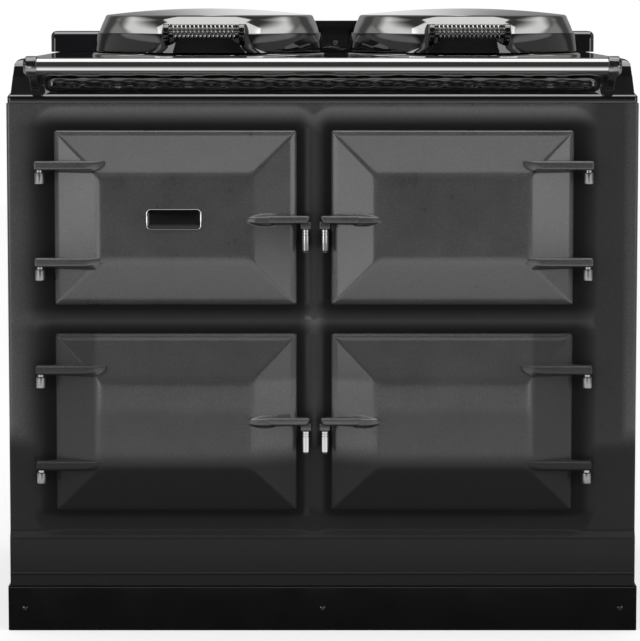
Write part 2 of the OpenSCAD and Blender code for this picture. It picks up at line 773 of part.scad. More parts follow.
module control_door() door_casting(LEFT, UPPER);
module roasting_door() door_casting(RIGHT, UPPER);
module baking_door() door_casting(LEFT, LOWER);
module simmering_door() door_casting(RIGHT, LOWER);
module control_door_pack() door_pack(LEFT, UPPER);
module roasting_door_pack() door_pack(RIGHT, UPPER);
module baking_door_pack() door_pack(LEFT, LOWER);
module simmering_door_pack() door_pack(RIGHT, LOWER);
module control_door_roller() door_roller(LEFT, UPPER);
module roasting_door_roller() door_roller(RIGHT, UPPER);
module baking_door_roller() door_roller(LEFT, LOWER);
module simmering_door_roller() door_roller(RIGHT, LOWER);

// A barrel lies this far under the middle of its arm
barrel_drop = hinge_arm_h / 2 + barrel_gap + barrel_h / 2;

module hinge_brackets() color(STEEL)
    for (cell = CELLS, z = arm_zs(cell[1])) {
        x = hinge_x(cell[0]);
        zb = z - barrel_drop;
        difference() {
            union() {
                translate([x, hinge_y, zb - barrel_h / 2]) cylinder(d = barrel_d, h = barrel_h);
                block([x - lug_w / 2, hinge_y, zb - barrel_h / 2],
                      [x + lug_w / 2, floor_y + mortise, zb + barrel_h / 2]);
            }
            translate([x, hinge_y, zb - barrel_h / 2 - reach])
                cylinder(d = hinge_pin_d, h = barrel_h + 2 * reach);
        }
    }

// Each pin stands in its barrel, has a shoulder under the arm, and runs in the arm's eye
module hinge_pins() color(STEEL)
    for (cell = CELLS, z = arm_zs(cell[1])) {
        foot = z - barrel_drop - barrel_h / 2;
        translate([hinge_x(cell[0]), hinge_y, foot])
            cylinder(d = hinge_pin_d, h = barrel_h + barrel_gap + hinge_arm_h - 4);
        translate([hinge_x(cell[0]), hinge_y, foot + barrel_h])
            cylinder(d = hinge_pin_d + 3, h = barrel_gap - seat);
    }

function keeper_mid(row) = roller_top(row) - roller_h / 2;

// A keeper is a bevelled block that the closed door's roller rests on, a running gap away
module catch_keepers() color(BLACK)
    for (cell = CELLS) {
        face = roller_y + roller_d / 2 + seat;
        half = keeper_w / 2;
        translate([cell[0][2], 0, keeper_mid(cell[1]) - keeper_h / 2]) linear_extrude(keeper_h)
            polygon([[half, floor_y + mortise], [half, face + keeper_bevel],
                     [half - keeper_bevel, face], [keeper_bevel - half, face],
                     [-half, face + keeper_bevel], [-half, floor_y + mortise]]);
    }

module door_seals() color(ROPE)
    for (cell = CELLS)
        translate([cell[0][0], 0, mid_z(cell[1])]) facing(floor_y, seal_t) difference() {
            round_rect(oven_w + 2 * (seal_in + seal_w), oven_h + 2 * (seal_in + seal_w), 14);
            round_rect(oven_w + 2 * seal_in, oven_h + 2 * seal_in, 8);
        }

// ---------------------------------------------------------------- top

module top_plate() color(BLACK) difference() {
    top_w = plate_w - 2 * top_in;
    lip_half = plate_w / 2 - lip_in;
    union() {
        block([-lip_half, front_y, plate_top_z], [lip_half, back_y, plate_top_z + lip_h]);
        intersection() {
            // side outline, with the round front of the horns and of the nose between them
            union() {
                along_x(-top_w / 2, top_w / 2) polygon(concat(
                    [[back_y, plate_top_z + lip_h - 1], [horn_y, plate_top_z + lip_h - 1]],
                    arc([horn_y + horn_r, hob_z - horn_r], horn_r, 180, 90, 8),
                    [[back_y, hob_z]]));
                along_x(-cove_half, cove_half) polygon(concat(
                    [[back_y, hob_z - nose_h], [horn_y, hob_z - nose_h]],
                    arc([horn_y + nose_r, hob_z - nose_r], nose_r, 180, 90, 6),
                    [[back_y, hob_z]]));
            }
            // front outline, with drafted sides and round shoulders
            translate([0, back_y, 0]) rotate([90, 0, 0]) linear_extrude(body_depth + 10)
                polygon(concat(
                    [[-top_w / 2, plate_top_z], [top_w / 2, plate_top_z]],
                    arc([top_w / 2 - horn_draft - horn_shoulder_r, hob_z - horn_shoulder_r],
                        horn_shoulder_r, 0, 90, 6),
                    arc([-top_w / 2 + horn_draft + horn_shoulder_r, hob_z - horn_shoulder_r],
                        horn_shoulder_r, 90, 180, 6)));
        }
    }
    // cove under the nose, with round ends
    bar_x(-cove_half + cove_r, cove_half - cove_r, cove_y, cove_z, 2 * cove_r);
    for (side = [-1, 1])
        translate([side * (cove_half - cove_r), cove_y, cove_z]) sphere(r = cove_r);
    // hollow under the hob
    block([-panel_x + top_wall, plate_back_y + top_front_wall, plate_top_z - reach],
          [panel_x - top_wall, back_y - top_wall, hob_z - hob_t]);
    for (x = [left_lid_x, right_lid_x])
        translate([x, lid_y, hob_z - 2 * hob_t])
            cylinder(r = hotplate_r + hotplate_gap, h = 3 * hob_t, $fn = 128);
}
horn_y = front_y + 2;
cove_y = front_y + 3;
cove_z = plate_top_z + lip_h + cove_r + 0.5;
nose_h = 20;
top_wall = 14;
top_front_wall = 42;

upstand_r = 9;
upstand_t = 5;

module rear_upstand() color(BLACK) {
    w = plate_w - 2 * upstand_in;
    difference() {
        translate([0, 0, hob_z]) intersection() {
            translate([0, (upstand_y + back_y) / 2, 0]) linear_extrude(upstand_h)
                round_rect(w, upstand_depth, upstand_r);
            facing(back_y + reach, upstand_depth + 2 * reach)
                round_rect(w, 2 * upstand_h, upstand_r);
        }
        block([-w / 2 + upstand_t, upstand_y + upstand_t, hob_z - reach],
              [w / 2 - upstand_t, back_y - upstand_t, hob_z + upstand_h - upstand_t]);
    }
}

// The stepped casting between the lids that covers the flue
module vent_box() color(BLACK) difference() {
    y0 = lid_hinge_y + vent_gap;
    y1 = upstand_y;
    along_x(vent_x - vent_w / 2, vent_x + vent_w / 2) polygon([
        [y0, hob_z], [y0, hob_z + 12], [y0 + 14, hob_z + 12], [y0 + 14, hob_z + 24],
        [y0 + 28, hob_z + 24], [y0 + 28, hob_z + 32], [y0 + 34, hob_z + 32],
        [y0 + 34, hob_z + vent_h - 10], [y0 + 30, hob_z + vent_h - 10],
        [y0 + 30, hob_z + vent_h], [y1, hob_z + vent_h], [y1, hob_z]]);
    // dark slot under the cap
    block([vent_x - vent_w / 2 + 8, y0 + 33, hob_z + 33],
          [vent_x + vent_w / 2 - 8, y0 + 60, hob_z + vent_h - 11]);
}

module hotplate(x) color(IRON) translate([x, lid_y, 0]) {
    top = hob_z + hotplate_top_gap;
    translate([0, 0, top - hotplate_h]) cylinder(r = hotplate_r, h = hotplate_h - 2, $fn = 128);
    translate([0, 0, top - 2]) cylinder(r1 = hotplate_r, r2 = hotplate_r - 2, h = 2, $fn = 128);
    translate([0, 0, top - hotplate_h]) cylinder(r = hotplate_r + hotplate_flange,
        h = hob_z - hob_t - top + hotplate_h, $fn = 128);
}
module boiling_plate() hotplate(left_lid_x);
module simmering_plate() hotplate(right_lid_x);

module hotplate_elements() color(STEEL)
    for (x = [left_lid_x, right_lid_x])
        translate([x, lid_y, hob_z + hotplate_top_gap - hotplate_h - element_h])
            cylinder(r = hotplate_r - element_in, h = element_h, $fn = 96);

module hotplate_rings() color(CHROME)
    for (x = [left_lid_x, right_lid_x]) translate([x, lid_y, 0]) rotate_extrude($fn = 128)
        polygon(concat([[hotplate_r + 0.6, hob_z], [hotplate_r + 0.6, hob_z + ring_h - 1.5]],
            arc([hotplate_r + 2.1, hob_z + ring_h - 1.5], 1.5, 180, 90, 3),
            [[hotplate_r + ring_w - 4, hob_z + ring_h - 0.5], [hotplate_r + ring_w, hob_z]]));

// ---------------------------------------------------------------- handrail

rail_socket = 6;       // how far the rail goes into each collar
collar_t = 16;
collar_cap = 3;

module handrail() color(CHROME) difference() {
    end = rail_half + rail_socket;
    bar_x(-end, end, front_y - rail_out, rail_z, rail_d);
    bar_x(-end - reach, end + reach, front_y - rail_out, rail_z, rail_d - 2 * rail_wall);
}

module rail_brackets() color(STEEL)
    for (side = [-1, 1]) mirror([side < 0 ? 1 : 0, 0, 0]) difference() {
        y = front_y - rail_out;
        union() {
            bar_x(rail_half, rail_half + collar_t, y, rail_z, collar_d);
            bar_x(rail_half + collar_t, rail_half + collar_t + collar_cap, y, rail_z, collar_d - 5);
            // arm back to the horn of the top
            along_x(rail_half + 2, rail_half + 17) polygon([
                [y, rail_z + 10], [front_y + 2, plate_top_z + 42], [front_y + 2, plate_top_z + 18],
                [y + 6, rail_z - 13], [y - 8, rail_z - 8]]);
        }
        bar_x(rail_half - reach, rail_half + rail_socket, y, rail_z, rail_d);
    }

// ---------------------------------------------------------------- lids

top_r = lid_r - 17.5;
shell_edge = 5;                                 // radius where the dome meets the side
function dome_z(r) = let (big = (top_r * top_r + dome_h * dome_h) / (2 * dome_h))
    chrome_top + dome_h - big + sqrt(big * big - r * r);

shell_r = lid_r - 6;
handle_up = 4;         // height of the coil's axis over the black band
handle_z = band_top + handle_up;
handle_y = lid_y - lid_r - handle_out;
mount_r = lid_r + 7;
mount_top = band_top + 15;
tongue_h = 13;
tongue_low = 8;
ear_half = coil_len / 2;
rod_in = 6;            // how far the rod is let into each ear
ear_low_angle = 250;   // where the lower edge of an ear leaves its round end

// Front outline of the black mount of the handle, round the middle of a lid
module mount_outline() {
    flare = [[45, lid_foot_z], [21, lid_foot_z + 7], [9, lid_foot_z + 18],
             [5, mount_top - 6], [1, mount_top]];
    right = [for (p = flare) [ear_half + ear_t + p[0], p[1]]];
    polygon(concat(right, [for (i = [len(right) - 1:-1:0]) [-right[i][0], right[i][1]]]));
}

module mount_block(x) translate([x, 0, 0])
    facing(lid_y - 100, lid_r) mount_outline();

module lid_shell(x) color(CHROME) difference() {
    translate([x, lid_y, 0]) rotate_extrude($fn = 128) polygon(concat(
        [[0, dome_z(0) - shell_t]],
        [for (i = [1:8]) let (r = (top_r - shell_edge) * i / 8) [r, dome_z(r) - shell_t]],
        [[shell_r - shell_t, band_top], [shell_r, band_top], [shell_r - 3.5, band_top + chrome_h * 0.55]],
        arc([top_r - shell_edge, dome_z(top_r - shell_edge) - shell_edge], shell_edge, 15, 85, 5),
        [for (i = [8:-1:0]) let (r = (top_r - shell_edge) * i / 8) [r, dome_z(r)]]));
    mount_block(x);
}

web_z = band_top - 7;

module lid_base(x) color(BLACK) difference() {
    union() {
        translate([x, lid_y, 0]) rotate_extrude($fn = 128) polygon([
            [lid_r - 9, lid_foot_z], [lid_r - 1, lid_foot_z], [lid_r, lid_foot_z + 2],
            [lid_r - 4, band_top], [lid_r - 40, band_top], [lid_r - 40, web_z],
            [lid_r - 9, web_z]]);
        // mount of the handle, which hugs the band
        intersection() {
            mount_block(x);
            translate([x, lid_y, lid_foot_z]) difference() {
                cylinder(r = mount_r, h = mount_top - lid_foot_z, $fn = 128);
                translate([0, 0, -reach]) cylinder(r = lid_r - 9, h = 2 * band_h + 40, $fn = 128);
            }
        }
        // ears that hold the rod
        for (side = [-1, 1]) {
            x0 = side < 0 ? x - ear_half - ear_t : x + ear_half;
            along_x(x0, x0 + ear_t) polygon(concat(
                [[lid_y - lid_r + 12, lid_foot_z + 9]],
                arc([handle_y, handle_z], coil_d / 2, ear_low_angle, 90, 10),
                [[lid_y - lid_r + 12, mount_top]]));
        }
        // tongue and knuckle of the lid's hinge
        block([x - tongue_w / 2, lid_y + lid_r - 6, lid_hinge_z - tongue_low],
              [x + tongue_w / 2, lid_hinge_y, min(lid_hinge_z - tongue_low + tongue_h, band_top)]);
        bar_x(x - tongue_w / 2, x + tongue_w / 2, lid_hinge_y, lid_hinge_z, 2 * bracket_r);
    }
    bar_x(x - tongue_w, x + tongue_w, lid_hinge_y, lid_hinge_z, lid_pin_d + 2 * fit_gap);
    for (side = [-1, 1])
        bar_x(x + side * ear_half - (side < 0 ? rod_in : 0),
              x + side * ear_half + (side < 0 ? 0 : rod_in), handle_y, handle_z, handle_rod_d);
}

module lid_liner(x) color(STEEL) translate([x, lid_y, lid_foot_z + 2])
    cylinder(r = lid_r - 10, h = web_z - lid_foot_z - 2, $fn = 128);

module handle_rod(x) color(STEEL)
    bar_x(x - ear_half - rod_in, x + ear_half + rod_in, handle_y, handle_z, handle_rod_d);

// The coil is one wire: straight for its own thickness at each end, and a helix between
coil_r = (coil_d - coil_wire) / 2;
coil_straight = 1.1 * coil_wire;                // length of each straight end
coil_blend = 1 / 4;                             // part of a curl in which the wire turns in
coil_pitch = (coil_len - 2 * coil_straight) / (coil_curls + 2 * coil_blend);

// Turns made by the place x along the coil, which start and stop gently
function ease(t) = t * t / (2 * coil_blend);
function turns_at(x) = let (u = (x - coil_straight) / coil_pitch, last = coil_curls + 2 * coil_blend)
    u <= 0 ? 0 :
    u < coil_blend ? ease(u) :
    u <= last - coil_blend ? u - coil_blend / 2 :
    u < last ? last - coil_blend - ease(last - u) : last - coil_blend;

function coil_point(x) = let (a = 360 * turns_at(x)) [x, coil_r * cos(a), coil_r * sin(a)];

coil_xs = concat(
    [0, 0.5 * coil_straight, coil_straight],
    [for (i = [1:4]) coil_straight + coil_pitch * coil_blend * i / 4],
    [for (i = [1:8 * coil_curls - 1]) coil_straight + coil_pitch * (coil_blend + i / 8)],
    [for (i = [4:-1:0]) coil_len - coil_straight - coil_pitch * coil_blend * i / 4],
    [coil_len - 0.5 * coil_straight, coil_len]);

function unit(v) = v / norm(v);
function coil_ring(x) =
    let (p = coil_point(x), a = 360 * turns_at(x), d = 0.02,
         t = unit(coil_point(min(x + d, coil_len)) - coil_point(max(x - d, 0))),
         n = [0, cos(a), sin(a)], b = cross(t, n))
    [for (k = [0:5]) p + coil_wire / 2 * (cos(60 * k) * n + sin(60 * k) * b)];

coil_gap = min([for (i = [0:8 * (coil_curls - 1)])
    let (x = coil_straight + coil_pitch * (coil_blend + i / 8))
    min([for (k = [-2:2]) norm(coil_point(x + coil_pitch * (1 + k / 40)) - coil_point(x))]) - coil_wire]);
echo(least_gap_between_curls = coil_gap);

module handle_coil(x) color(CHROME)
    translate([x - coil_len / 2, handle_y, handle_z]) {
        rings = len(coil_xs);
        polyhedron(
            points = [for (x = coil_xs) each coil_ring(x)],
            faces = concat(
                [[for (k = [0:5]) k]],
                [for (i = [0:rings - 2], k = [0:5]) let (a = 6 * i + k, b = 6 * i + (k + 1) % 6)
                    each [[a, a + 6, b], [b, a + 6, b + 6]]],
                [[for (k = [5:-1:0]) 6 * (rings - 1) + k]]));
    }

module left_lid_shell() lid_shell(left_lid_x);
module left_lid_base() lid_base(left_lid_x);
module left_lid_liner() lid_liner(left_lid_x);
module left_handle_rod() handle_rod(left_lid_x);
module left_handle_coil() handle_coil(left_lid_x);
module right_lid_shell() lid_shell(right_lid_x);
module right_lid_base() lid_base(right_lid_x);
module right_lid_liner() lid_liner(right_lid_x);
module right_handle_rod() handle_rod(right_lid_x);
module right_handle_coil() handle_coil(right_lid_x);

// The brackets of the lids stand just behind the rings of the hotplates
bracket_r = 9;         // round top of a cheek, round the lid's pin
bracket_back = 16;     // how far the foot of a bracket reaches behind the pin
bracket_front_y = max(lid_hinge_y - bracket_r, lid_y + hotplate_r + ring_w + seat);
cheek_gap = 1;

module lid_hinge_brackets() color(BLACK)
    for (x = [left_lid_x, right_lid_x]) {
        inner = tongue_w / 2 + cheek_gap;
        block([x - inner - cheek_t, bracket_front_y, hob_z],
              [x + inner + cheek_t, lid_hinge_y + bracket_back, hob_z + bracket_foot_t]);
        for (side = [-1, 1]) {
            x0 = side < 0 ? x - inner - cheek_t : x + inner;
            difference() {
                along_x(x0, x0 + cheek_t) polygon(concat(
                    [[lid_hinge_y + bracket_r + 3, hob_z], [lid_hinge_y + bracket_r, lid_hinge_z]],
                    arc([lid_hinge_y, lid_hinge_z], bracket_r, 0, 180, 12),
                    [[bracket_front_y, hob_z]]));
                bar_x(x0 - reach, x0 + cheek_t + reach, lid_hinge_y, lid_hinge_z, lid_pin_d);
            }
        }
    }

module lid_hinge_pins() color(STEEL)
    for (x = [left_lid_x, right_lid_x])
        bar_x(x - tongue_w / 2 - cheek_gap - cheek_t, x + tongue_w / 2 + cheek_gap + cheek_t,
              lid_hinge_y, lid_hinge_z, lid_pin_d);

// ---------------------------------------------------------------- what is drawn

base_frame();
levelling_feet();
plinth();
plinth_screws();
front_plate();
side_panel_left();
side_panel_right();
back_panel();
cable_gland();
insulation();
top_plate();
rear_upstand();
vent_box();
boiling_plate();
simmering_plate();
hotplate_elements();
hotplate_rings();
roasting_oven();
simmering_oven();
baking_oven();
control_box();
control_panel();
thermostats();
handrail();
rail_brackets();
hinge_brackets();
hinge_pins();
catch_keepers();
door_seals();
lid_hinge_brackets();
lid_hinge_pins();
knob_left();
knob_middle();
knob_right();
roasting_shelf();
simmering_shelf();
baking_shelf();
control_door();
control_door_pack();
control_door_roller();
roasting_door();
roasting_door_pack();
roasting_door_roller();
baking_door();
baking_door_pack();
baking_door_roller();
simmering_door();
simmering_door_pack();
simmering_door_roller();
left_lid_shell();
left_lid_base();
left_lid_liner();
left_handle_rod();
left_handle_coil();
right_lid_shell();
right_lid_base();
right_lid_liner();
right_handle_rod();
right_handle_coil();
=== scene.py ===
# %% [markdown]
# # Cast iron range cooker
# This notebook dresses a cast iron heat-storage cooker for its photograph. The frame that it
# loads holds every part at its real size and place, and the joints that move them. Each cell
# below models one piece or one finish in more detail, and hangs it on the part that carries it.

# %% Load the frame
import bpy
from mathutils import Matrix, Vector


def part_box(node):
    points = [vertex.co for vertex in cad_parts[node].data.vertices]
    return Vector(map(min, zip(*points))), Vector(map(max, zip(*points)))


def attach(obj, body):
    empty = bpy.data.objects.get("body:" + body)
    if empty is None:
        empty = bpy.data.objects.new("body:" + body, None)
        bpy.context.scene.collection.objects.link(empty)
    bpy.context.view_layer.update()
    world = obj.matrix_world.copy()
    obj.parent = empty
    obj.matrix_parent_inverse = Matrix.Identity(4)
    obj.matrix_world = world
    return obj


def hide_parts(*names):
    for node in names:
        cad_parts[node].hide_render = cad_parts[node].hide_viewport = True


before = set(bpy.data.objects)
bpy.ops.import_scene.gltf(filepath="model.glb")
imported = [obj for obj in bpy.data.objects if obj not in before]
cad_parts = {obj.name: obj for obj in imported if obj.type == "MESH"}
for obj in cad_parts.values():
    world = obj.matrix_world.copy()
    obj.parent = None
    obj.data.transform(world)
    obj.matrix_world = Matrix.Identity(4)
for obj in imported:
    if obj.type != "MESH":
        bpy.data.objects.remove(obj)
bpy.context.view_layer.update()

import math

import bmesh
import bpy
import numpy as np
from mathutils import Vector

# %% [markdown]
# ## Lengths
# Blender's unit is the metre, but a cooker is drawn in millimetres. All lengths below are
# millimetres, and one helper turns a corner of the frame into them. The main sizes are read from
# the frame, so a piece stays where its part is.

# %% Sizes of the body
MM = 0.001


def frame_box(node):
    low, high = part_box(node)
    return np.array(low) / MM, np.array(high) / MM


plate_low, plate_high = frame_box("front_plate")
plate_w = plate_high[0] - plate_low[0]
plate_top = plate_high[2]
plate_foot = plate_low[2]
plate_back = plate_high[1]
moulding_out, bead_out = 6.0, 1.4
front_y = plate_low[1] + moulding_out + bead_out
back_y = frame_box("back_panel")[1][1]
hob_z = frame_box("rear_upstand")[0][2]
print("front plate", round(plate_w), "wide, face at y", round(front_y, 1), "hob at z", round(hob_z))

# %% [markdown]
# The four doors share one width and one section, so they are described once. The table below
# says where each stands and which way it is hung; `side` is -1 for hinges on the left, and every
# later step multiplies by it instead of drawing a left and a right door.

# %% Sizes of the doors
door_w = 379.0
upper_h, lower_h = 274.0, 281.0
oven_w, oven_h = 349.0, 253.0
rim_t, rim_r = 12.0, 5.0
door_rise, bevel_w = 21.0, 72.0
pocket_depth = 9.0
door_back = front_y + pocket_depth - 4.0
flat_y = door_back - rim_t - door_rise
eye_r = 8.0
hinge_y = flat_y + eye_r
left_x = -plate_w / 2 + 74.5 + door_w / 2
right_x = left_x + door_w + 53.5
lower_z, upper_z = 191.0, 517.0

# Each door: middle, bottom, height, side of the hinge, arm heights, latch height
DOORS = {
    "control": dict(x=left_x, z=upper_z, h=upper_h, side=-1, arms=(737, 586), latch=653),
    "roasting": dict(x=right_x, z=upper_z, h=upper_h, side=1, arms=(737, 586), latch=653),
    "baking": dict(x=left_x, z=lower_z, h=lower_h, side=-1, arms=(417, 266), latch=336),
    "simmering": dict(x=right_x, z=lower_z, h=lower_h, side=1, arms=(417, 266), latch=336),
}
for name, door in DOORS.items():
    low, high = frame_box(name + "_door_roller")
    door["roller"] = ((low[0] + high[0]) / 2, low[2], high[2])
    door["hinge_x"] = door["x"] + door["side"] * (door_w / 2 + 21.5)
    print(name, "door middle x", door["x"], "roller at x", round(door["roller"][0], 1))

# %% [markdown]
# ## Mesh helpers
# Every piece is built from rings or grids of points, because a cast or turned part is a smooth
# surface with a few crisp edges. `loft` skins a row of rings, `lathe` turns a profile round an
# axis, and `relief` raises a grid like pressed clay. `add_piece` joins points that coincide,
# turns all faces outwards and shades them smooth, with a crease wherever two faces meet steeply.

# %% Put a mesh in the scene
def join(*parts):
    """Runs several (points, faces) together into one."""
    points, faces = [], []
    for part_points, part_faces in parts:
        start = len(points)
        points.extend(map(tuple, part_points))
        faces.extend([tuple(start + i for i in face) for face in part_faces])
    return points, faces


def add_piece(name, part, material, body, stands_for=(), crease=38, hollow=None):
    points, faces = part
    mesh = bpy.data.meshes.new(name)
    mesh.from_pydata([tuple(c * MM for c in p) for p in points], [], faces)
    shape = bmesh.new()
    shape.from_mesh(mesh)
    bmesh.ops.delete(shape, geom=[v for v in shape.verts if not v.link_faces], context="VERTS")
    bmesh.ops.remove_doubles(shape, verts=shape.verts, dist=0.002 * MM)
    bmesh.ops.recalc_face_normals(shape, faces=shape.faces)
    shape.to_mesh(mesh)
    shape.free()
    mesh.shade_smooth()
    mesh.set_sharp_from_angle(angle=math.radians(crease))
    # Optional painted shade, stored on the points as a number from 0 to 1.
    if hollow:
        places = np.array([v.co for v in mesh.vertices]) / MM
        layer = mesh.attributes.new("hollow", "FLOAT", "POINT")
        layer.data.foreach_set("value", hollow(places[:, 0], places[:, 2]).astype(np.float32))
    obj = bpy.data.objects.new(name, mesh)
    bpy.context.scene.collection.objects.link(obj)
    mesh.materials.append(material)
    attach(obj, body)
    if stands_for:
        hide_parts(*stands_for)
    print(f"{name}: {len(mesh.polygons)} faces on {body}")


# %% Rings, lofts and turned shapes
def arc(cx, cy, r, start, end, steps):
    angles = np.radians(np.linspace(start, end, steps + 1))
    return [(cx + r * math.cos(a), cy + r * math.sin(a)) for a in angles]


def round_box_ring(u0, u1, v0, v1, r, steps=5):
    """A rectangle with round corners, as points in two coordinates."""
    r = min(r, (u1 - u0) / 2 - 1e-3, (v1 - v0) / 2 - 1e-3)
    return (arc(u1 - r, v1 - r, r, 0, 90, steps) + arc(u0 + r, v1 - r, r, 90, 180, steps)
            + arc(u0 + r, v0 + r, r, 180, 270, steps) + arc(u1 - r, v0 + r, r, 270, 360, steps))


def loft(rings):
    """Skins a row of rings with the same number of points, and closes both ends."""
    n = len(rings[0])
    points = [p for ring in rings for p in ring]
    faces = []
    for i in range(len(rings) - 1):
        for k in range(n):
            a, b = i * n + k, i * n + (k + 1) % n
            faces.append((a, b, b + n, a + n))
    faces.append(tuple(range(n - 1, -1, -1)))
    faces.append(tuple(range((len(rings) - 1) * n, len(rings) * n)))
    return points, faces


def lathe(profile, centre, steps=96, axis="z"):
    """Turns a profile of (radius, height) round an axis through centre."""
    points, faces = [], []
    n = len(profile)
    for i in range(steps):
        a = 2 * math.pi * i / steps
        for r, h in profile:
            u, v = r * math.cos(a), r * math.sin(a)
            local = {"z": (u, v, h), "x": (h, u, v), "y": (u, h, v)}[axis]
            points.append(tuple(c + d for c, d in zip(centre, local)))
    for i in range(steps):
        j = (i + 1) % steps
        for k in range(n):
            m = (k + 1) % n
            corners = [i * n + k, j * n + k, j * n + m, i * n + m]
            if profile[k][0] < 1e-9 and profile[m][0] < 1e-9:
                continue
            if profile[k][0] < 1e-9:
                corners = [i * n + k, j * n + m, i * n + m]
            elif profile[m][0] < 1e-9:
                corners = [i * n + k, j * n + k, i * n + m]
            faces.append(tuple(corners))
    return points, faces


def rod(start, end, centre, r, axis, edge=0.6, steps=48):
    """A solid round bar along an axis, with softened ends."""
    profile = ([(0, start)] + arc(r - edge, start + edge, edge, -90, 0, 3)
               + arc(r - edge, end - edge, edge, 0, 90, 3) + [(0, end)])
    return lathe(profile, centre, steps, axis)


print("helpers ready")

# %% [markdown]
# A cast face is easiest to describe as a height over a flat sheet. The grid's lines can stand
# close where the surface bends and far apart where it is flat, which keeps the mesh light.

# %% Grids pressed into relief
def relief(xs, zs, front, back, holes=()):
    """A slab whose front stands at y = front(x, z), with a flat back and square holes."""
    xs, zs = np.unique(np.round(xs, 4)), np.unique(np.round(zs, 4))
    grid_x, grid_z = np.meshgrid(xs, zs, indexing="ij")
    y = front(grid_x, grid_z)
    nx, nz = len(xs), len(zs)
    points = np.concatenate([np.stack([grid_x, y, grid_z], -1).reshape(-1, 3),
                             np.stack([grid_x, np.full_like(y, back), grid_z], -1).reshape(-1, 3)])
    mid_x, mid_z = (xs[1:] + xs[:-1]) / 2, (zs[1:] + zs[:-1]) / 2
    kept = np.ones((nx - 1, nz - 1), bool)
    for x0, x1, z0, z1 in holes:
        kept &= ~(((mid_x > x0) & (mid_x < x1))[:, None] & ((mid_z > z0) & (mid_z < z1))[None, :])
    number = np.arange(nx * nz).reshape(nx, nz)
    a, b = number[:-1, :-1][kept], number[1:, :-1][kept]
    c, d = number[1:, 1:][kept], number[:-1, 1:][kept]
    size = nx * nz
    faces = [np.stack([a, b, c, d], -1), np.stack([d, c, b, a], -1) + size]
    padded = np.pad(kept, 1)
    across = padded[1:, 1:-1] != padded[:-1, 1:-1]
    i, j = np.nonzero(across)
    faces.append(np.stack([number[i, j], number[i, j + 1],
                           number[i, j + 1] + size, number[i, j] + size], -1))
    along = padded[1:-1, 1:] != padded[1:-1, :-1]
    i, j = np.nonzero(along)
    faces.append(np.stack([number[i, j], number[i + 1, j],
                           number[i + 1, j] + size, number[i, j] + size], -1))
    return points.tolist(), np.concatenate(faces).tolist()


def smooth_step(t):
    t = np.clip(t, 0, 1)
    return t * t * (3 - 2 * t)


def steps_between(start, end, step):
    return np.linspace(start, end, max(2, int(round(abs(end - start) / step)) + 1))


def round_rect_distance(x, z, half_w, half_h, r):
    """Distance outside a rectangle with round corners; negative inside."""
    dx, dz = np.abs(x) - half_w + r, np.abs(z) - half_h + r
    outside = np.hypot(np.maximum(dx, 0), np.maximum(dz, 0))
    return outside + np.minimum(np.maximum(dx, dz), 0) - r


print("relief ready")

# %% [markdown]
# ## Shader groups
# Four effects turn up on several finishes, so each is a node group with named inputs, placed in
# every material that needs it with its own values. `Mottle` clouds a colour the way a fired coat
# varies in thickness. `Fleck` scatters the fine light grains of a speckled enamel. `Ripple` gives
# the shallow waves and orange peel of a fired or cast surface. The fourth group finds the proud
# edges, where a painted highlight goes.

# %% Group helpers
def new_group(name, inputs, outputs):
    """A shader node group with its sockets; returns the group, the outputs of its input node and
    the inputs of its output node.
    """
    group = bpy.data.node_groups.new(name, "ShaderNodeTree")
    for label, kind, value in inputs:
        socket = group.interface.new_socket(label, in_out="INPUT", socket_type=kind)
        socket.default_value = value
    for label, kind in outputs:
        group.interface.new_socket(label, in_out="OUTPUT", socket_type=kind)
    ends = group.nodes.new("NodeGroupInput"), group.nodes.new("NodeGroupOutput")
    return group, ends[0].outputs, ends[1].inputs


def add_node(tree, kind, **settings):
    """Adds a node; a setting whose name is a socket's fills or links that socket."""
    node = tree.nodes.new(kind)
    for label, value in settings.items():
        if label in node.bl_rna.properties:
            setattr(node, label, value)
    for label, value in settings.items():
        if label in node.bl_rna.properties:
            continue
        key = int(label[1:]) if label[0] == "_" else label.replace("_", " ")
        if isinstance(value, bpy.types.NodeSocket):
            tree.links.new(value, node.inputs[key])
        else:
            node.inputs[key].default_value = value
    return node


def calc(tree, operation, *values):
    """Adds a Math node over some values and returns its result."""
    inputs = {f"_{i}": value for i, value in enumerate(values)}
    return add_node(tree, "ShaderNodeMath", operation=operation, **inputs).outputs[0]


def remap(tree, value, start, end, low=0.0, high=1.0, **settings):
    """Carries a value from start..end over to low..high."""
    return add_node(tree, "ShaderNodeMapRange", Value=value, From_Min=start, From_Max=end,
                    To_Min=low, To_Max=high, **settings).outputs[0]


def mix(tree, kind, share, first, second):
    """Mixes two numbers (kind FLOAT) or two colours (kind RGBA)."""
    a, b, result = {"FLOAT": ("_2", "_3", 0), "RGBA": ("_6", "_7", 2)}[kind]
    inputs = {"_0": share, a: first, b: second}
    return add_node(tree, "ShaderNodeMix", data_type=kind, **inputs).outputs[result]


def per_metre(tree, size):
    """Turns the size of a blot in millimetres into the scale of a noise."""
    return calc(tree, "DIVIDE", 1000.0, size)


def noise(tree, scale, detail, **settings):
    """Noise that is fixed to the piece."""
    place = add_node(tree, "ShaderNodeTexCoord").outputs["Object"]
    return add_node(tree, "ShaderNodeTexNoise", Vector=place, Scale=scale, Detail=detail,
                    **settings).outputs["Fac"]


FLOAT, COLOR = "NodeSocketFloat", "NodeSocketColor"
print("group helpers ready")

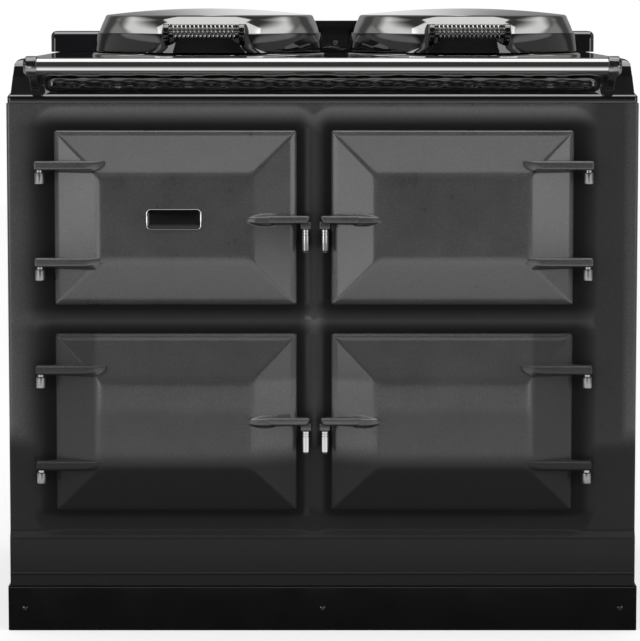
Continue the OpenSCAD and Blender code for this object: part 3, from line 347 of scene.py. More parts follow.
# %% Mottle: cloudy variation of a colour
mottle, given, out = new_group("Mottle", [("Color", COLOR, (0.5, 0.5, 0.5, 1)),
                                          ("Size", FLOAT, 40.0), ("Amount", FLOAT, 0.2)],
                               [("Color", COLOR), ("Cloud", FLOAT)])
cloud = noise(mottle, per_metre(mottle, given["Size"]), 3.0, Roughness=0.6)
swing = remap(mottle, cloud, 0.3, 0.7, -1.0, 1.0)
gain = calc(mottle, "MULTIPLY_ADD", swing, given["Amount"], 1.0)
tinted = add_node(mottle, "ShaderNodeVectorMath", operation="SCALE", _0=given["Color"], Scale=gain)
mottle.links.new(tinted.outputs[0], out["Color"])
mottle.links.new(cloud, out["Cloud"])
print("group:", mottle.name)

# %% Fleck: fine grains of another colour
fleck, given, out = new_group("Fleck", [("Ground", COLOR, (0.05, 0.05, 0.05, 1)),
                                        ("Grain", COLOR, (0.2, 0.2, 0.2, 1)),
                                        ("Size", FLOAT, 1.2), ("Cover", FLOAT, 0.3)],
                              [("Color", COLOR), ("Mask", FLOAT)])
grains = noise(fleck, per_metre(fleck, given["Size"]), 1.0)
least = calc(fleck, "MULTIPLY_ADD", given["Cover"], -0.35, 0.72)
mask = remap(fleck, grains, least, calc(fleck, "ADD", least, 0.06))
fleck.links.new(mix(fleck, "RGBA", mask, given["Ground"], given["Grain"]), out["Color"])
fleck.links.new(mask, out["Mask"])
print("group:", fleck.name)

# %% Ripple: height of shallow waves and of orange peel
ripple, given, out = new_group("Ripple", [("Wave size", FLOAT, 45.0), ("Wave depth", FLOAT, 0.2),
                                          ("Peel size", FLOAT, 4.0), ("Peel depth", FLOAT, 0.01)],
                               [("Height", FLOAT)])
heights = [calc(ripple, "MULTIPLY", noise(ripple, per_metre(ripple, given[kind + " size"]), 2.0),
                given[kind + " depth"]) for kind in ("Wave", "Peel")]
ripple.links.new(calc(ripple, "ADD", *heights), out["Height"])
print("group:", ripple.name)

# %% Proud edges: a mask of them, broken up by noise, for a painted highlight
edge_highlight, given, out = new_group("Edge highlight", [("Start", FLOAT, 0.53), ("Width", FLOAT, 0.08)],
                             [("Mask", FLOAT)])
shape = add_node(edge_highlight, "ShaderNodeNewGeometry")
end = calc(edge_highlight, "ADD", given["Start"], given["Width"])
proud = remap(edge_highlight, shape.outputs["Pointiness"], given["Start"], end)
edge_highlight.links.new(calc(edge_highlight, "MULTIPLY", proud, noise(edge_highlight, 180.0, 3.0)), out["Mask"])
print("group:", edge_highlight.name)

# %% [markdown]
# ## Finishes
# The front of the cooker is vitreous enamel: glass fired onto iron. It has a nearly black body, a
# sprinkle of lighter grains, and a glossy skin that is never quite flat. A Principled shader with
# a low base colour and a clear coat does that, with the ripple group bending both. The groups
# only feed colours, roughness and bump; fixed numbers sit on the shader's own sockets.

# %% Material helper
def new_finish(name, **fixed):
    """A material with one Principled shader; fixed numbers go on its sockets."""
    material = bpy.data.materials.new(name)
    material.use_nodes = True
    shader = material.node_tree.nodes["Principled BSDF"]
    for label, value in fixed.items():
        shader.inputs[label.replace("_", " ")].default_value = value
    return material, material.node_tree, shader


def place_group(tree, group, **values):
    node = tree.nodes.new("ShaderNodeGroup")
    node.node_tree = group
    for label, value in values.items():
        socket = node.inputs[label.replace("_", " ")]
        if isinstance(value, bpy.types.NodeSocket):
            tree.links.new(value, socket)
        else:
            socket.default_value = value
    return node.outputs


def add_ripple(tree, shader, wave, wave_depth, peel, peel_depth):
    """Bends a finish with the ripple group; sizes and depths are millimetres."""
    height = place_group(tree, ripple, Wave_size=wave, Wave_depth=wave_depth, Peel_size=peel,
                         Peel_depth=peel_depth)["Height"]
    bump = add_node(tree, "ShaderNodeBump", Height=height, Distance=MM)
    tree.links.new(bump.outputs["Normal"], shader.inputs["Normal"])


def cloudy_finish(name, color, size, amount, rough, waves, **fixed):
    """One clouded colour under a rippled skin; `rough` is the least and the most roughness."""
    material, tree, shader = new_finish(name, **fixed)
    body = place_group(tree, mottle, Color=(*color, 1), Size=size, Amount=amount)
    tree.links.new(body["Color"], shader.inputs["Base Color"])
    tree.links.new(remap(tree, body["Cloud"], 0.3, 0.7, *rough), shader.inputs["Roughness"])
    add_ripple(tree, shader, *waves)
    return material


print("finish helpers ready")

# %% [markdown]
# The charcoal coat also reads a number that each of its pieces carries on its points. It is painted
# shade: where it is 1 the coat is painted black and dull, standing for the shade in the pockets
# round the doors, under the arms, at the foot, along the right margin and on parts of the lower
# doors; where it is 0 the coat is speckled and glossy. It is painted on, so it stays whatever the
# light does.

# %% Charcoal speckled enamel of the front and the doors
charcoal, tree, shader = new_finish("charcoal_enamel", Specular_IOR_Level=0.5,
                                    Coat_Roughness=0.12)
grain = place_group(tree, fleck, Ground=(0.052, 0.0525, 0.053, 1), Grain=(0.095, 0.095, 0.096, 1),
                    Size=1.0, Cover=0.5)
body = place_group(tree, mottle, Color=grain["Color"], Size=55.0, Amount=0.12)
# Painted shade: where the mask is 1 the colour turns nearly black, the skin rough and the coat
# thin.
hollow = add_node(tree, "ShaderNodeAttribute", attribute_name="hollow").outputs["Fac"]
shade = mix(tree, "RGBA", hollow, body["Color"], (0.0045, 0.0045, 0.0045, 1))
tree.links.new(shade, shader.inputs["Base Color"])
skin = remap(tree, body["Cloud"], 0.3, 0.7, 0.26, 0.36)
tree.links.new(mix(tree, "FLOAT", hollow, skin, 0.92), shader.inputs["Roughness"])
tree.links.new(calc(tree, "MULTIPLY_ADD", hollow, -0.95, 1.0), shader.inputs["Coat Weight"])
add_ripple(tree, shader, 60.0, 0.30, 6.0, 0.010)
print("finish:", charcoal.name)

# %% [markdown]
# The top, the upstand and the lid bands are plain black enamel with a mirror's gloss, so they
# have a high index of refraction and hardly any roughness. The plinth and the sheet panels are
# painted steel, which is duller and flatter. Both are one clouded colour under a rippled skin.

# %% Black enamel and satin black
COAL = (0.0045, 0.0048, 0.0058)
black = cloudy_finish("black_enamel", COAL, 50.0, 0.25, (0.02, 0.05), (45.0, 0.14, 5.0, 0.004),
                      IOR=1.95)
satin_black = cloudy_finish("satin_black", COAL, 50.0, 0.25, (0.10, 0.18),
                            (45.0, 0.05, 5.0, 0.004), IOR=1.48)
print("finishes:", black.name, satin_black.name)

# %% [markdown]
# Chrome is a metal whose colour is how much it mirrors. The rail's brackets mirror far less; their
# proud edges, which the edge group finds, are painted pale as a highlight.

# %% Chrome of the lids, the rail, the coils and the rollers
chrome = cloudy_finish("chrome", (0.67, 0.667, 0.655), 30.0, 0.02, (0.035, 0.08),
                       (50.0, 0.05, 3.0, 0.0008), Metallic=1.0)
dark_chrome = cloudy_finish("dark_chrome", (0.16, 0.16, 0.165), 12.0, 0.08, (0.10, 0.2),
                            (12.0, 0.02, 2.0, 0.003), Metallic=1.0)
tree = dark_chrome.node_tree
base = tree.nodes["Principled BSDF"].inputs["Base Color"]
# Painted highlight: the proud edges of the brackets and screw heads are painted pale.
edge = place_group(tree, edge_highlight, Start=0.54, Width=0.06)
tree.links.new(mix(tree, "RGBA", edge["Mask"], base.links[0].from_socket, (0.7, 0.7, 0.7, 1)),
               base)
print("finishes:", chrome.name, dark_chrome.name)

# %% [markdown]
# The plainer metals differ in three things: how bright they are, how rough, and how their
# surface is worked. Turned steel has fine marks, cast iron is grainy from the sand of its mould,
# and a pressed aluminium pan has soft waves.

# %% Steel, cast iron and aluminium
def worked_finish(name, color, size, amount, rough, peel, peel_depth, **fixed):
    """A finish whose waves are as wide as its clouds, with the marks of its making on top."""
    waves = (size, 0.02, peel, peel_depth)
    return cloudy_finish(name, color, size, amount, rough, waves, **fixed)


steel = worked_finish("steel", (0.56, 0.56, 0.55), 18.0, 0.07, (0.22, 0.34), 1.2, 0.006,
                      Metallic=1.0)
barrel_steel = worked_finish("barrel_steel", (0.42, 0.42, 0.42), 6.0, 0.2, (0.3, 0.45), 1.0, 0.01,
                             Metallic=1.0)
iron = worked_finish("cast_iron", (0.060, 0.058, 0.056), 14.0, 0.22, (0.5, 0.68), 1.6, 0.06)
hob_iron = worked_finish("ground_iron", (0.11, 0.107, 0.103), 40.0, 0.14, (0.34, 0.5), 1.0, 0.015,
                         Metallic=0.7)
pan = worked_finish("aluminium_pan", (0.62, 0.62, 0.61), 60.0, 0.06, (0.30, 0.42), 2.5, 0.012,
                    Metallic=1.0)
print("metals:", steel.name, iron.name, hob_iron.name, pan.name)

# %% [markdown]
# Three soft things are hidden inside: the knobs' plastic, the wool that fills the body, and the
# rope that seals each door. The rope's strands are slanting bands in its bump.

# %% Plastic, wool and rope
plastic = worked_finish("black_plastic", (0.022, 0.022, 0.023), 10.0, 0.1, (0.36, 0.46), 0.8,
                        0.012)
wool = worked_finish("mineral_wool", (0.50, 0.44, 0.30), 9.0, 0.35, (0.9, 1.0), 1.5, 0.8)

rope, tree, shader = new_finish("rope_seal", Roughness=0.9)
body = place_group(tree, mottle, Color=(0.30, 0.285, 0.25, 1), Size=8.0, Amount=0.25)
tree.links.new(body["Color"], shader.inputs["Base Color"])
place = add_node(tree, "ShaderNodeTexCoord")
strands = add_node(tree, "ShaderNodeTexWave", Vector=place.outputs["Object"], Scale=90.0,
                   bands_direction="DIAGONAL", Distortion=1.5)
bump = add_node(tree, "ShaderNodeBump", Height=strands.outputs["Fac"], Distance=0.6 * MM)
tree.links.new(bump.outputs["Normal"], shader.inputs["Normal"])
print("soft finishes:", plastic.name, wool.name, rope.name)

# %% [markdown]
# ## Parts that keep their own shape
# Some parts of the frame are already as fine as they need to be, most of them because a door, a
# lid or a panel hides them. They only get a finish. The rest are modelled again further down.

# %% Dress the parts that keep their own shape
OWN_SHAPE = {
    satin_black: ["side_panel_left", "side_panel_right", "back_panel"],
    black: ["lid_hinge_brackets", "catch_keepers", "control_panel"],
    iron: ["base_frame", "roasting_oven", "simmering_oven", "baking_oven"],
    hob_iron: ["boiling_plate", "simmering_plate"],
    steel: ["levelling_feet", "thermostats", "hinge_pins", "lid_hinge_pins", "roasting_shelf",
            "simmering_shelf", "baking_shelf", "left_handle_rod", "right_handle_rod",
            "hotplate_elements", "control_box"],
    pan: ["left_lid_liner", "right_lid_liner", "control_door_pack", "roasting_door_pack",
          "baking_door_pack", "simmering_door_pack"],
    plastic: ["knob_left", "knob_middle", "knob_right", "cable_gland"],
    wool: ["insulation"],
    rope: ["door_seals"],
}
for material, nodes in OWN_SHAPE.items():
    for node in nodes:
        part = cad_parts[node]
        part.data.materials.clear()
        part.data.materials.append(material)
print("dressed:", sum(len(nodes) for nodes in OWN_SHAPE.values()), "parts")

# %% [markdown]
# ## Front plate
# The front is one flat casting. Round each door it sinks into a soft pocket, so that the doors sit
# in shadow, and it ends at the foot in a moulding with a bead. All of that is a height over a flat
# sheet, so the plate is a grid of points pressed into relief, with lines close together where the
# surface bends and far apart where it is flat. On top of that the pockets, the foot and the right
# margin carry painted shade.

# %% Relief of the front plate
POCKET_FLOOR_OUT, POCKET_REACH = 4.0, 41.0
moulding_top, slope_h = 145.0, 16.0
bead_z, bead_r = plate_foot + 19.0, 2.0


def sunk_share(x, z, near, far):
    """How far a place of the plate belongs to a pocket: 1 at a door, 0 well outside it."""
    raised = np.ones_like(x)
    for door in DOORS.values():
        out = round_rect_distance(x - door["x"], z - door["z"] - door["h"] / 2,
                                  door_w / 2, door["h"] / 2, 6.0)
        raised = raised * smooth_step((out - near) / (far - near))
    return 1 - raised


def plate_relief(x, z):
    sunk = pocket_depth * sunk_share(x, z, POCKET_FLOOR_OUT, POCKET_REACH)
    moulding = moulding_out * (1 - smooth_step((z - moulding_top) / slope_h))
    bead = np.sqrt(np.maximum(bead_r ** 2 - (z - bead_z) ** 2, 0)) - (bead_r - bead_out)
    edge = np.clip(rim_r - (plate_w / 2 - np.abs(x)), 0, rim_r)
    rounded = rim_r - np.sqrt(rim_r ** 2 - edge ** 2)
    return front_y + sunk - moulding - np.maximum(bead, 0) + rounded


def plate_hollow(x, z):
    """Painted shade on the plate: dark and dull in the pockets, down at the foot, and along the
    right margin.
    """
    raised = np.ones_like(x)
    for door in DOORS.values():
        past_x = np.abs(x - door["x"]) - door_w / 2
        past_z = np.abs(z - door["z"] - door["h"] / 2) - door["h"] / 2
        past_x = past_x * np.where(np.abs(x) > right_x + door_w / 2, 0.55, 1.1)
        out = np.hypot(np.maximum(past_x, 0), np.maximum(past_z * 1.2, 0))
        raised = raised * smooth_step((out - 7) / 39)
    foot = 0.88 * (1 - smooth_step((z - 285) / 55))
    past_doors = x - right_x - door_w / 2
    margin = 0.70 * smooth_step((past_doors - 10) / 30) * (1 - 0.7 * smooth_step((x - 474) / 8))
    return np.maximum.reduce([1 - raised, foot, margin])


def lines_round(low, high, reach, step):
    return np.concatenate([steps_between(low - reach, low + 4, step),
                           steps_between(high - 4, high + reach, step)])


half = plate_w / 2
xs = [steps_between(-half, half, 12), -half + rim_r * (1 - np.cos(np.linspace(0, 1.57, 6))),
      half - rim_r * (1 - np.cos(np.linspace(0, 1.57, 6)))]
zs = [steps_between(plate_foot, plate_top, 12), steps_between(moulding_top - 2, 163, 1.4),
      bead_z + bead_r * np.cos(np.linspace(0, math.pi, 15)), [bead_z - 2.6, bead_z + 2.6]]
holes = []
for door in DOORS.values():
    middle = door["z"] + door["h"] / 2
    xs.append(lines_round(door["x"] - door_w / 2, door["x"] + door_w / 2, POCKET_REACH, 2.2))
    zs.append(lines_round(door["z"], door["z"] + door["h"], POCKET_REACH, 2.2))
    hole = (door["x"] - oven_w / 2, door["x"] + oven_w / 2,
            middle - oven_h / 2, middle + oven_h / 2)
    xs.append(hole[:2])
    zs.append(hole[2:])
    holes.append(hole)
xs = np.unique(np.concatenate(xs).round(2))
zs = np.unique(np.concatenate(zs).round(2))
add_piece("enamel_front", relief(xs[(xs >= -half) & (xs <= half)], zs, plate_relief, plate_back,
                                 holes),
          charcoal, "cooker", ["front_plate"],
          hollow=plate_hollow)

# %% [markdown]
# ## Edges that are softened all round
# Plinth, upstand, brackets and ears are plain outlines with some thickness, and what makes them
# look real is the small radius on every edge. `cushion` runs an outline along an axis and pulls
# it in at both ends along a quarter circle.

# %% Outline with softened edges
def inset(outline, d):
    """Moves every side of a closed outline inwards by d."""
    points = np.array(outline, float)
    following = np.roll(points, -1, axis=0)
    area = np.sum(points[:, 0] * following[:, 1] - following[:, 0] * points[:, 1])
    sides = following - points
    sides /= np.maximum(np.hypot(*sides.T), 1e-9)[:, None]
    normals = np.stack([-sides[:, 1], sides[:, 0]], -1) * np.sign(area)
    before = np.roll(normals, 1, axis=0)
    bisector = normals + before
    bisector /= np.maximum(np.hypot(*bisector.T), 1e-9)[:, None]
    reach = np.minimum(1 / np.maximum(np.sum(bisector * normals, 1), 0.25), 2)
    return points + bisector * (d * reach)[:, None]


def cushion(outline, start, end, axis, r=1.5, steps=3):
    """Runs an outline along an axis and rounds the edges at both ends."""
    turn = np.linspace(0, math.pi / 2, steps + 1)
    levels = [(start + r * (1 - math.sin(a)), r * (1 - math.cos(a))) for a in turn[::-1]]
    levels += [(end - r * (1 - math.sin(a)), r * (1 - math.cos(a))) for a in turn]
    rings = []
    for level, d in levels:
        ring = inset(outline, d) if d else np.array(outline, float)
        order = {"x": lambda u, v: (level, u, v), "y": lambda u, v: (u, level, v),
                 "z": lambda u, v: (u, v, level)}[axis]
        rings.append([order(u, v) for u, v in ring])
    return loft(rings)


print("cushion ready")

# %% [markdown]
# ## Plinth and screws
# The plinth is a folded steel skirt, painted black and open underneath. Its section is a thin
# wall with a flange at the top, carried once round the cooker, so the rings of the loft are
# rectangles that follow the section and close on themselves.

# %% Plinth
def ring_round(u0, u1, v0, v1, r, z):
    return [(u, v, z) for u, v in round_box_ring(u0, u1, v0, v1, r)]


plinth_low, plinth_high = frame_box("plinth")
plinth_wall, plinth_flange, plinth_edge = 4.0, 36.0, 2.5
section = [(0.6, 0), (0, 0.6), (0, 2.6), (0, plinth_high[2] - plinth_edge - 2)]
section += [(plinth_edge - plinth_edge * math.cos(a), plinth_high[2] - plinth_edge
             + plinth_edge * math.sin(a)) for a in np.linspace(0, math.pi / 2, 6)]
section += [(plinth_flange, plinth_high[2]), (plinth_flange, plinth_high[2] - plinth_wall),
            (plinth_wall, plinth_high[2] - plinth_wall), (plinth_wall, 0)]
rings = [ring_round(plinth_low[0] + d, plinth_high[0] - d, plinth_low[1] + d, plinth_high[1] - d,
                    3.0, z) for d, z in section]
points, faces = loft(rings + [rings[0]])
add_piece("plinth_skirt", (points, faces[:-2]), satin_black, "cooker", ["plinth"])

# %% Cross-headed screws
screw_low, screw_high = frame_box("plinth_screws")
screw_z = (screw_low[2] + screw_high[2]) / 2
heads = []
for x in (screw_low[0] + 4.5, 0.0, screw_high[0] - 4.5):
    face = plinth_low[1]
    dome = ([(0, face + 3), (4.5, face + 3), (4.5, face - 0.4)]
            + [(4.5 * math.cos(a), face - 0.4 - 1.7 * math.sin(a))
               for a in np.linspace(0.15, 1.2, 6)]
            + [(1.4, face - 1.9), (1.1, face - 0.8), (0, face - 0.6)])
    heads.append(lathe(dome, (x, 0, screw_z), 32, "y"))
    for angle in (35, 125):
        u, v = math.cos(math.radians(angle)), math.sin(math.radians(angle))
        bar = [(x + a * u - b * v, screw_z + a * v + b * u)
               for a, b in ((-2.6, -0.35), (2.6, -0.35), (2.6, 0.35), (-2.6, 0.35))]
        heads.append(cushion(bar, face - 2.15, face - 1.2, "y", 0.15, 1))
add_piece("plinth_screw_heads", join(*heads), dark_chrome, "cooker", ["plinth_screws"])

# %% [markdown]
# ## Top casting
# Seen from the front the top is a lip, a deep cove and a round nose, and at both ends the cove
# runs out into a solid round horn. Cut across at any place it is one closed outline, which
# changes slowly from the cove to the horn, so the casting is a loft of such outlines along X.

# %% Section of the top at one place along X
top_low, top_high = frame_box("top_plate")
lip_top = top_low[2] + 16.5
horn_y, horn_r, nose_r = front_y + 2, 25.0, 8.0
cove_z, cove_h, cove_r, cove_half = top_low[2] + 29.0, 12.4, 18.4, 433.0
under_r = 3.2
shoulder_r, side_low, side_high = 12.0, 488.0, 480.5


def crown_height(x):
    """Height of the top casting at x, with drafted sides and round shoulders."""
    x = abs(x)
    inner = side_high - shoulder_r
    if x <= inner:
        return hob_z
    if x <= side_high:
        return hob_z - shoulder_r + math.sqrt(max(shoulder_r ** 2 - (x - inner) ** 2, 0))
    return top_low[2] + (hob_z - shoulder_r - top_low[2]) * (side_low - x) / (side_low - side_high)


def wobble(x, z):
    """The slight unevenness of a sand casting, a few tenths of a millimetre."""
    return 0.22 * (math.sin(x / 9 + z) + math.sin(x / 23 + 2 * z) + 0.6 * math.sin(x / 4.3 - z))


def top_section(x):
    end = abs(x) - (cove_half - cove_r)
    radius = cove_r if end <= 0 else math.sqrt(max(cove_r ** 2 - end ** 2, 0))
    blend = float(smooth_step((abs(x) - cove_half + 12) / 16))
    edge_r = nose_r + (horn_r - nose_r) * blend
    section = [(back_y, top_low[2]), (horn_y + 8 * (1 - blend), top_low[2])]
    for a in np.linspace(0, math.pi, 25):
        z = cove_z - cove_h * math.cos(a)
        reach = min(abs(z - cove_z) / max(cove_h * radius / cove_r, 0.01), 1.0)
        bend = 2.6 if z < cove_z else 5.0
        dip = radius * (1 - reach ** bend) ** (1 / bend)
        uneven = wobble(x, z) * math.sin(a) ** 0.5 if dip > 1 else 0
        ledge = 5.8 * (1 - blend) if z < cove_z else 0
        section.append((horn_y + max(dip - 0.6, ledge) + uneven, z))
    for a in np.linspace(0, math.pi / 2, 6):
        round_off = under_r * (1 - blend)
        section.append((horn_y + round_off * (1 - math.sin(a)), cove_z + cove_h
                        + (under_r - under_r * math.cos(a) + 2.2 * wobble(x, 1.0)) * (1 - blend)))
    for a in np.linspace(0, math.pi / 2, 10):
        section.append((horn_y + edge_r - edge_r * math.cos(a) + 0.3 * wobble(x, 3.0) * (1 - blend),
                        hob_z - edge_r + edge_r * math.sin(a)))
    section += [(back_y - 3, hob_z), (back_y, hob_z - 3)]
    crown = crown_height(x)
    return [(x, y, min(z, crown)) for y, z in section]


ends = side_high - shoulder_r + shoulder_r * np.sin(np.linspace(0, math.pi / 2, 9))
places = np.unique(np.concatenate([
    steps_between(-412, 412, 4.0), steps_between(400, 447, 1.5), steps_between(-447, -400, 1.5),
    steps_between(447, side_high - shoulder_r, 5), -steps_between(447, side_high - shoulder_r, 5),
    ends, -ends, steps_between(side_high, side_low, 2), -steps_between(side_high, side_low, 2)
]).round(3))
crown = loft([top_section(x) for x in places])
lip_rings = [ring_round(top_low[0] + d, top_high[0] - d, front_y + d, back_y - d, 5.0, z)
             for d, z in ((1.5, top_low[2]), (0.4, top_low[2] + 0.4), (0, top_low[2] + 1.5),
                          (0, lip_top - 7.0), (0.2, lip_top - 6.2), (0.7, lip_top - 5.4),
                          (4.6, lip_top - 0.7), (5.6, lip_top - 0.2), (7.5, lip_top))]
lip = loft(lip_rings)
add_piece("enamel_top", join(crown, lip), black, "cooker", ["top_plate"], 50)

# %% [markdown]
# ## Upstand and vent box
# The upstand closes the back of the hob. Between the lids a stepped casting covers the flue, with
# a dark slot under its cap that lets the warm air out.

# %% Upstand
up_low, up_high = frame_box("rear_upstand")
up_r = 9.0
rings = [ring_round(up_low[0], up_high[0], up_low[1], up_high[1], up_r, up_low[2])]
for a in np.linspace(0, math.pi / 2, 7):
    d = up_r * (1 - math.cos(a))
    rings.append(ring_round(up_low[0] + d, up_high[0] - d, up_low[1] + d, up_high[1] - d,
                            up_r - 0.8 * d, up_high[2] - up_r + up_r * math.sin(a)))
add_piece("upstand", loft(rings), black, "cooker", ["rear_upstand"])

# %% Vent box with its slot and its screw
vent_low, vent_high = frame_box("vent_box")
y0, z0 = vent_low[1], vent_low[2]
steps = [(y0, z0), (y0, z0 + 12), (y0 + 14, z0 + 12), (y0 + 14, z0 + 24), (y0 + 28, z0 + 24),
         (y0 + 28, z0 + 32)]
cap = [(y0 + 30, z0 + 46), (y0 + 30, z0 + 56), (vent_high[1], z0 + 56), (vent_high[1], z0)]
slotted = steps + [(y0 + 62, z0 + 32), (y0 + 62, z0 + 46)] + cap
cheek = steps + [(y0 + 34, z0 + 32), (y0 + 34, z0 + 46)] + cap
vent_parts = [cushion(slotted, vent_low[0] + 7, vent_high[0] - 7, "x", 0.1, 1),
              cushion(cheek, vent_low[0], vent_low[0] + 8, "x", 1.2),
              cushion(cheek, vent_high[0] - 8, vent_high[0], "x", 1.2)]
add_piece("vent_box_steps", join(*vent_parts), black, "cooker", ["vent_box"])
vent_x = (vent_low[0] + vent_high[0]) / 2
knob = lathe([(0, y0 + 15), (4, y0 + 15), (4, y0 + 13.2), (2.6, y0 + 12.2), (0, y0 + 12)],
             (vent_x, 0, z0 + 18), 32, "y")
add_piece("vent_box_screw", knob, steel, "cooker")

# %% [markdown]
# ## Hotplate rings
# A bright ring frames each hotplate. It is turned metal, so it is a lathe profile: a rolled inner
# edge, a wide slope, and a thin foot on the enamel.

# %% Rings
ring_low, ring_high = frame_box("hotplate_rings")
lid_boxes = {side: frame_box(side + "_lid_shell") for side in ("left", "right")}
LIDS = {side: ((box[0][0] + box[1][0]) / 2, front_y + 330.0) for side, box in lid_boxes.items()}
ring_parts = []
for x, y in LIDS.values():
    inner, outer, foot, top = 184.1, 196.5, ring_low[2], ring_high[2]
    profile = ([(inner, foot)] + [(inner + 1.5 - 1.5 * math.cos(a), top - 1.5 + 1.5 * math.sin(a))
                                  for a in np.linspace(0, 1.57, 5)]
               + [(outer - 3.5, top - 0.5), (outer - 1.2, top - 1.6), (outer, foot + 1.2),
                  (outer, foot)])
    ring_parts.append(lathe(profile, (x, y, 0), 160))
add_piece("hotplate_frames", join(*ring_parts), chrome, "cooker", ["hotplate_rings"])

# %% [markdown]
# ## Doors
# Each door is a cast lid: a thin round rim, four broad bevels and a flat. The bevels meet in
# mitres that are crisp at the corners and melt away towards the flat, because the mould was
# smoothed by hand. A smooth minimum of the distances to the four edges gives exactly that, with
# a softness that grows with the distance from the rim. The latch arm grows out of the flat as a
# leaf, so the leaf is part of the same relief.

# %% Height of a door over its back
crown_rise, edge_r = 0.3, 3.0
hinge_arm_h, latch_arm_h = 14.5, 12.0
leaf_from, leaf_half, leaf_proud, leaf_band = 108.0, 10.5, 4.0, 0.34


def soft_min(a, b, k):
    h = np.maximum(k - np.abs(a - b), 0) / k
    return np.minimum(a, b) - h * h * k / 4


def door_height(e):
    """Rim and bevel, at distance e inside the edge of a door."""
    rim = rim_t - 3.5 + 0.51 * e
    bevel = rim_t + door_rise / (bevel_w - 6) * (e - 6)
    height = soft_min(soft_min(rim, bevel, 0.5), np.full_like(e, rim_t + door_rise), 2.8)
    edge = np.clip(edge_r - e, 0, edge_r)
    return height - edge_r + np.sqrt(edge_r ** 2 - edge ** 2)


def door_surface(x, z, door):
    u, v = x - door["x"], z - door["z"] - door["h"] / 2
    eu, ev = door_w / 2 - np.abs(u), door["h"] / 2 - np.abs(v)
    nearest = np.minimum(eu, ev)
    inside = np.maximum(soft_min(eu, ev, 0.8 + 0.08 * np.clip(nearest, 0, 80)), 0)
    height = door_height(inside)
    height += crown_rise * smooth_step(nearest / 120)
    along = -door["side"] * u - leaf_from
    fade = smooth_step(along / 22)
    half = leaf_half * np.sqrt(np.clip(along / 26, 0, 1))
    half = half * (1 - 0.25 * smooth_step((along - 45) / 35))
    across = np.abs(z - door["latch"] + 0.8) / np.maximum(half, 0.01)
    ridge = (1 - smooth_step((across - leaf_band) / (1 - leaf_band))) * (
        1 - smooth_step((along - 38) / 10))
    top = rim_t + door_rise + leaf_proud * fade
    height = np.where((along > 0) & (top > height), height + (top - height) * ridge, height)
    return door_back - height


def door_hollow(x, z, door):
    """Painted shade on a door: dark and dull close under its arms, and on parts of the lower doors.
    """
    u = np.abs(x - door["x"])
    hinge_side = (x - door["x"]) * door["side"]
    under = [(arm_z - hinge_arm_h / 2, 5, door_w / 2 - bevel_w + 6, hinge_side > 0)
             for arm_z in door["arms"]]
    under.append((door["latch"] - latch_arm_h / 2, 4, 150, hinge_side < 0))
    share = np.zeros_like(x)
    for high, depth, inner, on_side in under:
        near = np.minimum(z - high + depth, high - z) / (depth / 2)
        here = (u > inner) & (u < door_w / 2) & on_side
        share = np.maximum(share, 0.9 * smooth_step(1.5 * near) * here)
    if door["z"] == lower_z:
        foot = 0.85 * (1 - smooth_step((z - 262) / 42))
        foot_band = 0.30 * (1 - smooth_step((z - 342) / 22)) * (hinge_side > bevel_w - door_w / 2)
        outer_bevel = 0.58 * smooth_step((u - 118) / 12) * (hinge_side > 0)
        head = 0.30 * smooth_step((z - door["z"] - door["h"] + bevel_w + 6) / 12)
        share = np.maximum.reduce([share, foot, foot_band, outer_bevel, head])
    return share


fine_band, door_corner_r = 80, 5.0
offsets = np.concatenate([[0, 0.2, 0.7, 1.5, 2.5, 3.7, 5, 6], steps_between(6, fine_band, 2.2)])


def door_relief(door):
    middle = door["z"] + door["h"] / 2
    low_x, high_x = door["x"] - door_w / 2, door["x"] + door_w / 2
    low_z, high_z = door["z"], door["z"] + door["h"]
    xs = [low_x + offsets, high_x - offsets,
          steps_between(low_x + fine_band, high_x - fine_band, 6)]
    zs = [low_z + offsets, high_z - offsets,
          steps_between(low_z + fine_band, high_z - fine_band, 6),
          steps_between(door["latch"] - 13, door["latch"] + 12, 0.8)]
    reach = door["x"] - door["side"] * leaf_from
    xs.append(steps_between(reach - 2, reach + 30, 1.5) if door["side"] < 0
              else steps_between(reach - 30, reach + 2, 1.5))
    points, faces = relief(np.concatenate(xs), np.concatenate(zs),
                           lambda x, z: door_surface(x, z, door), door_back)
    points = np.array(points)
    u, v = points[:, 0] - door["x"], points[:, 2] - middle
    straight_u, straight_v = door_w / 2 - door_corner_r, door["h"] / 2 - door_corner_r
    past_u, past_v = np.abs(u) - straight_u, np.abs(v) - straight_v
    corner = (past_u > 0) & (past_v > 0)
    pull = np.maximum(past_u, past_v) / np.maximum(np.hypot(past_u, past_v), 1e-9)
    points[:, 0] = np.where(corner, door["x"] + np.sign(u) * (straight_u + past_u * pull),
                            points[:, 0])
    points[:, 2] = np.where(corner, middle + np.sign(v) * (straight_v + past_v * pull),
                            points[:, 2])
    return points.tolist(), faces


print("door relief ready")

# %% [markdown]
# The arms are cast in one with the door. An arm is drawn as seen from above, and stacked from
# its lower face to its upper face, so the root can run further onto the flat at the top and the
# tip of the latch can curl up. At the hinge it stops short of the pin, whose eye is a tube.

# %% Arms
arm_edge = 3.6


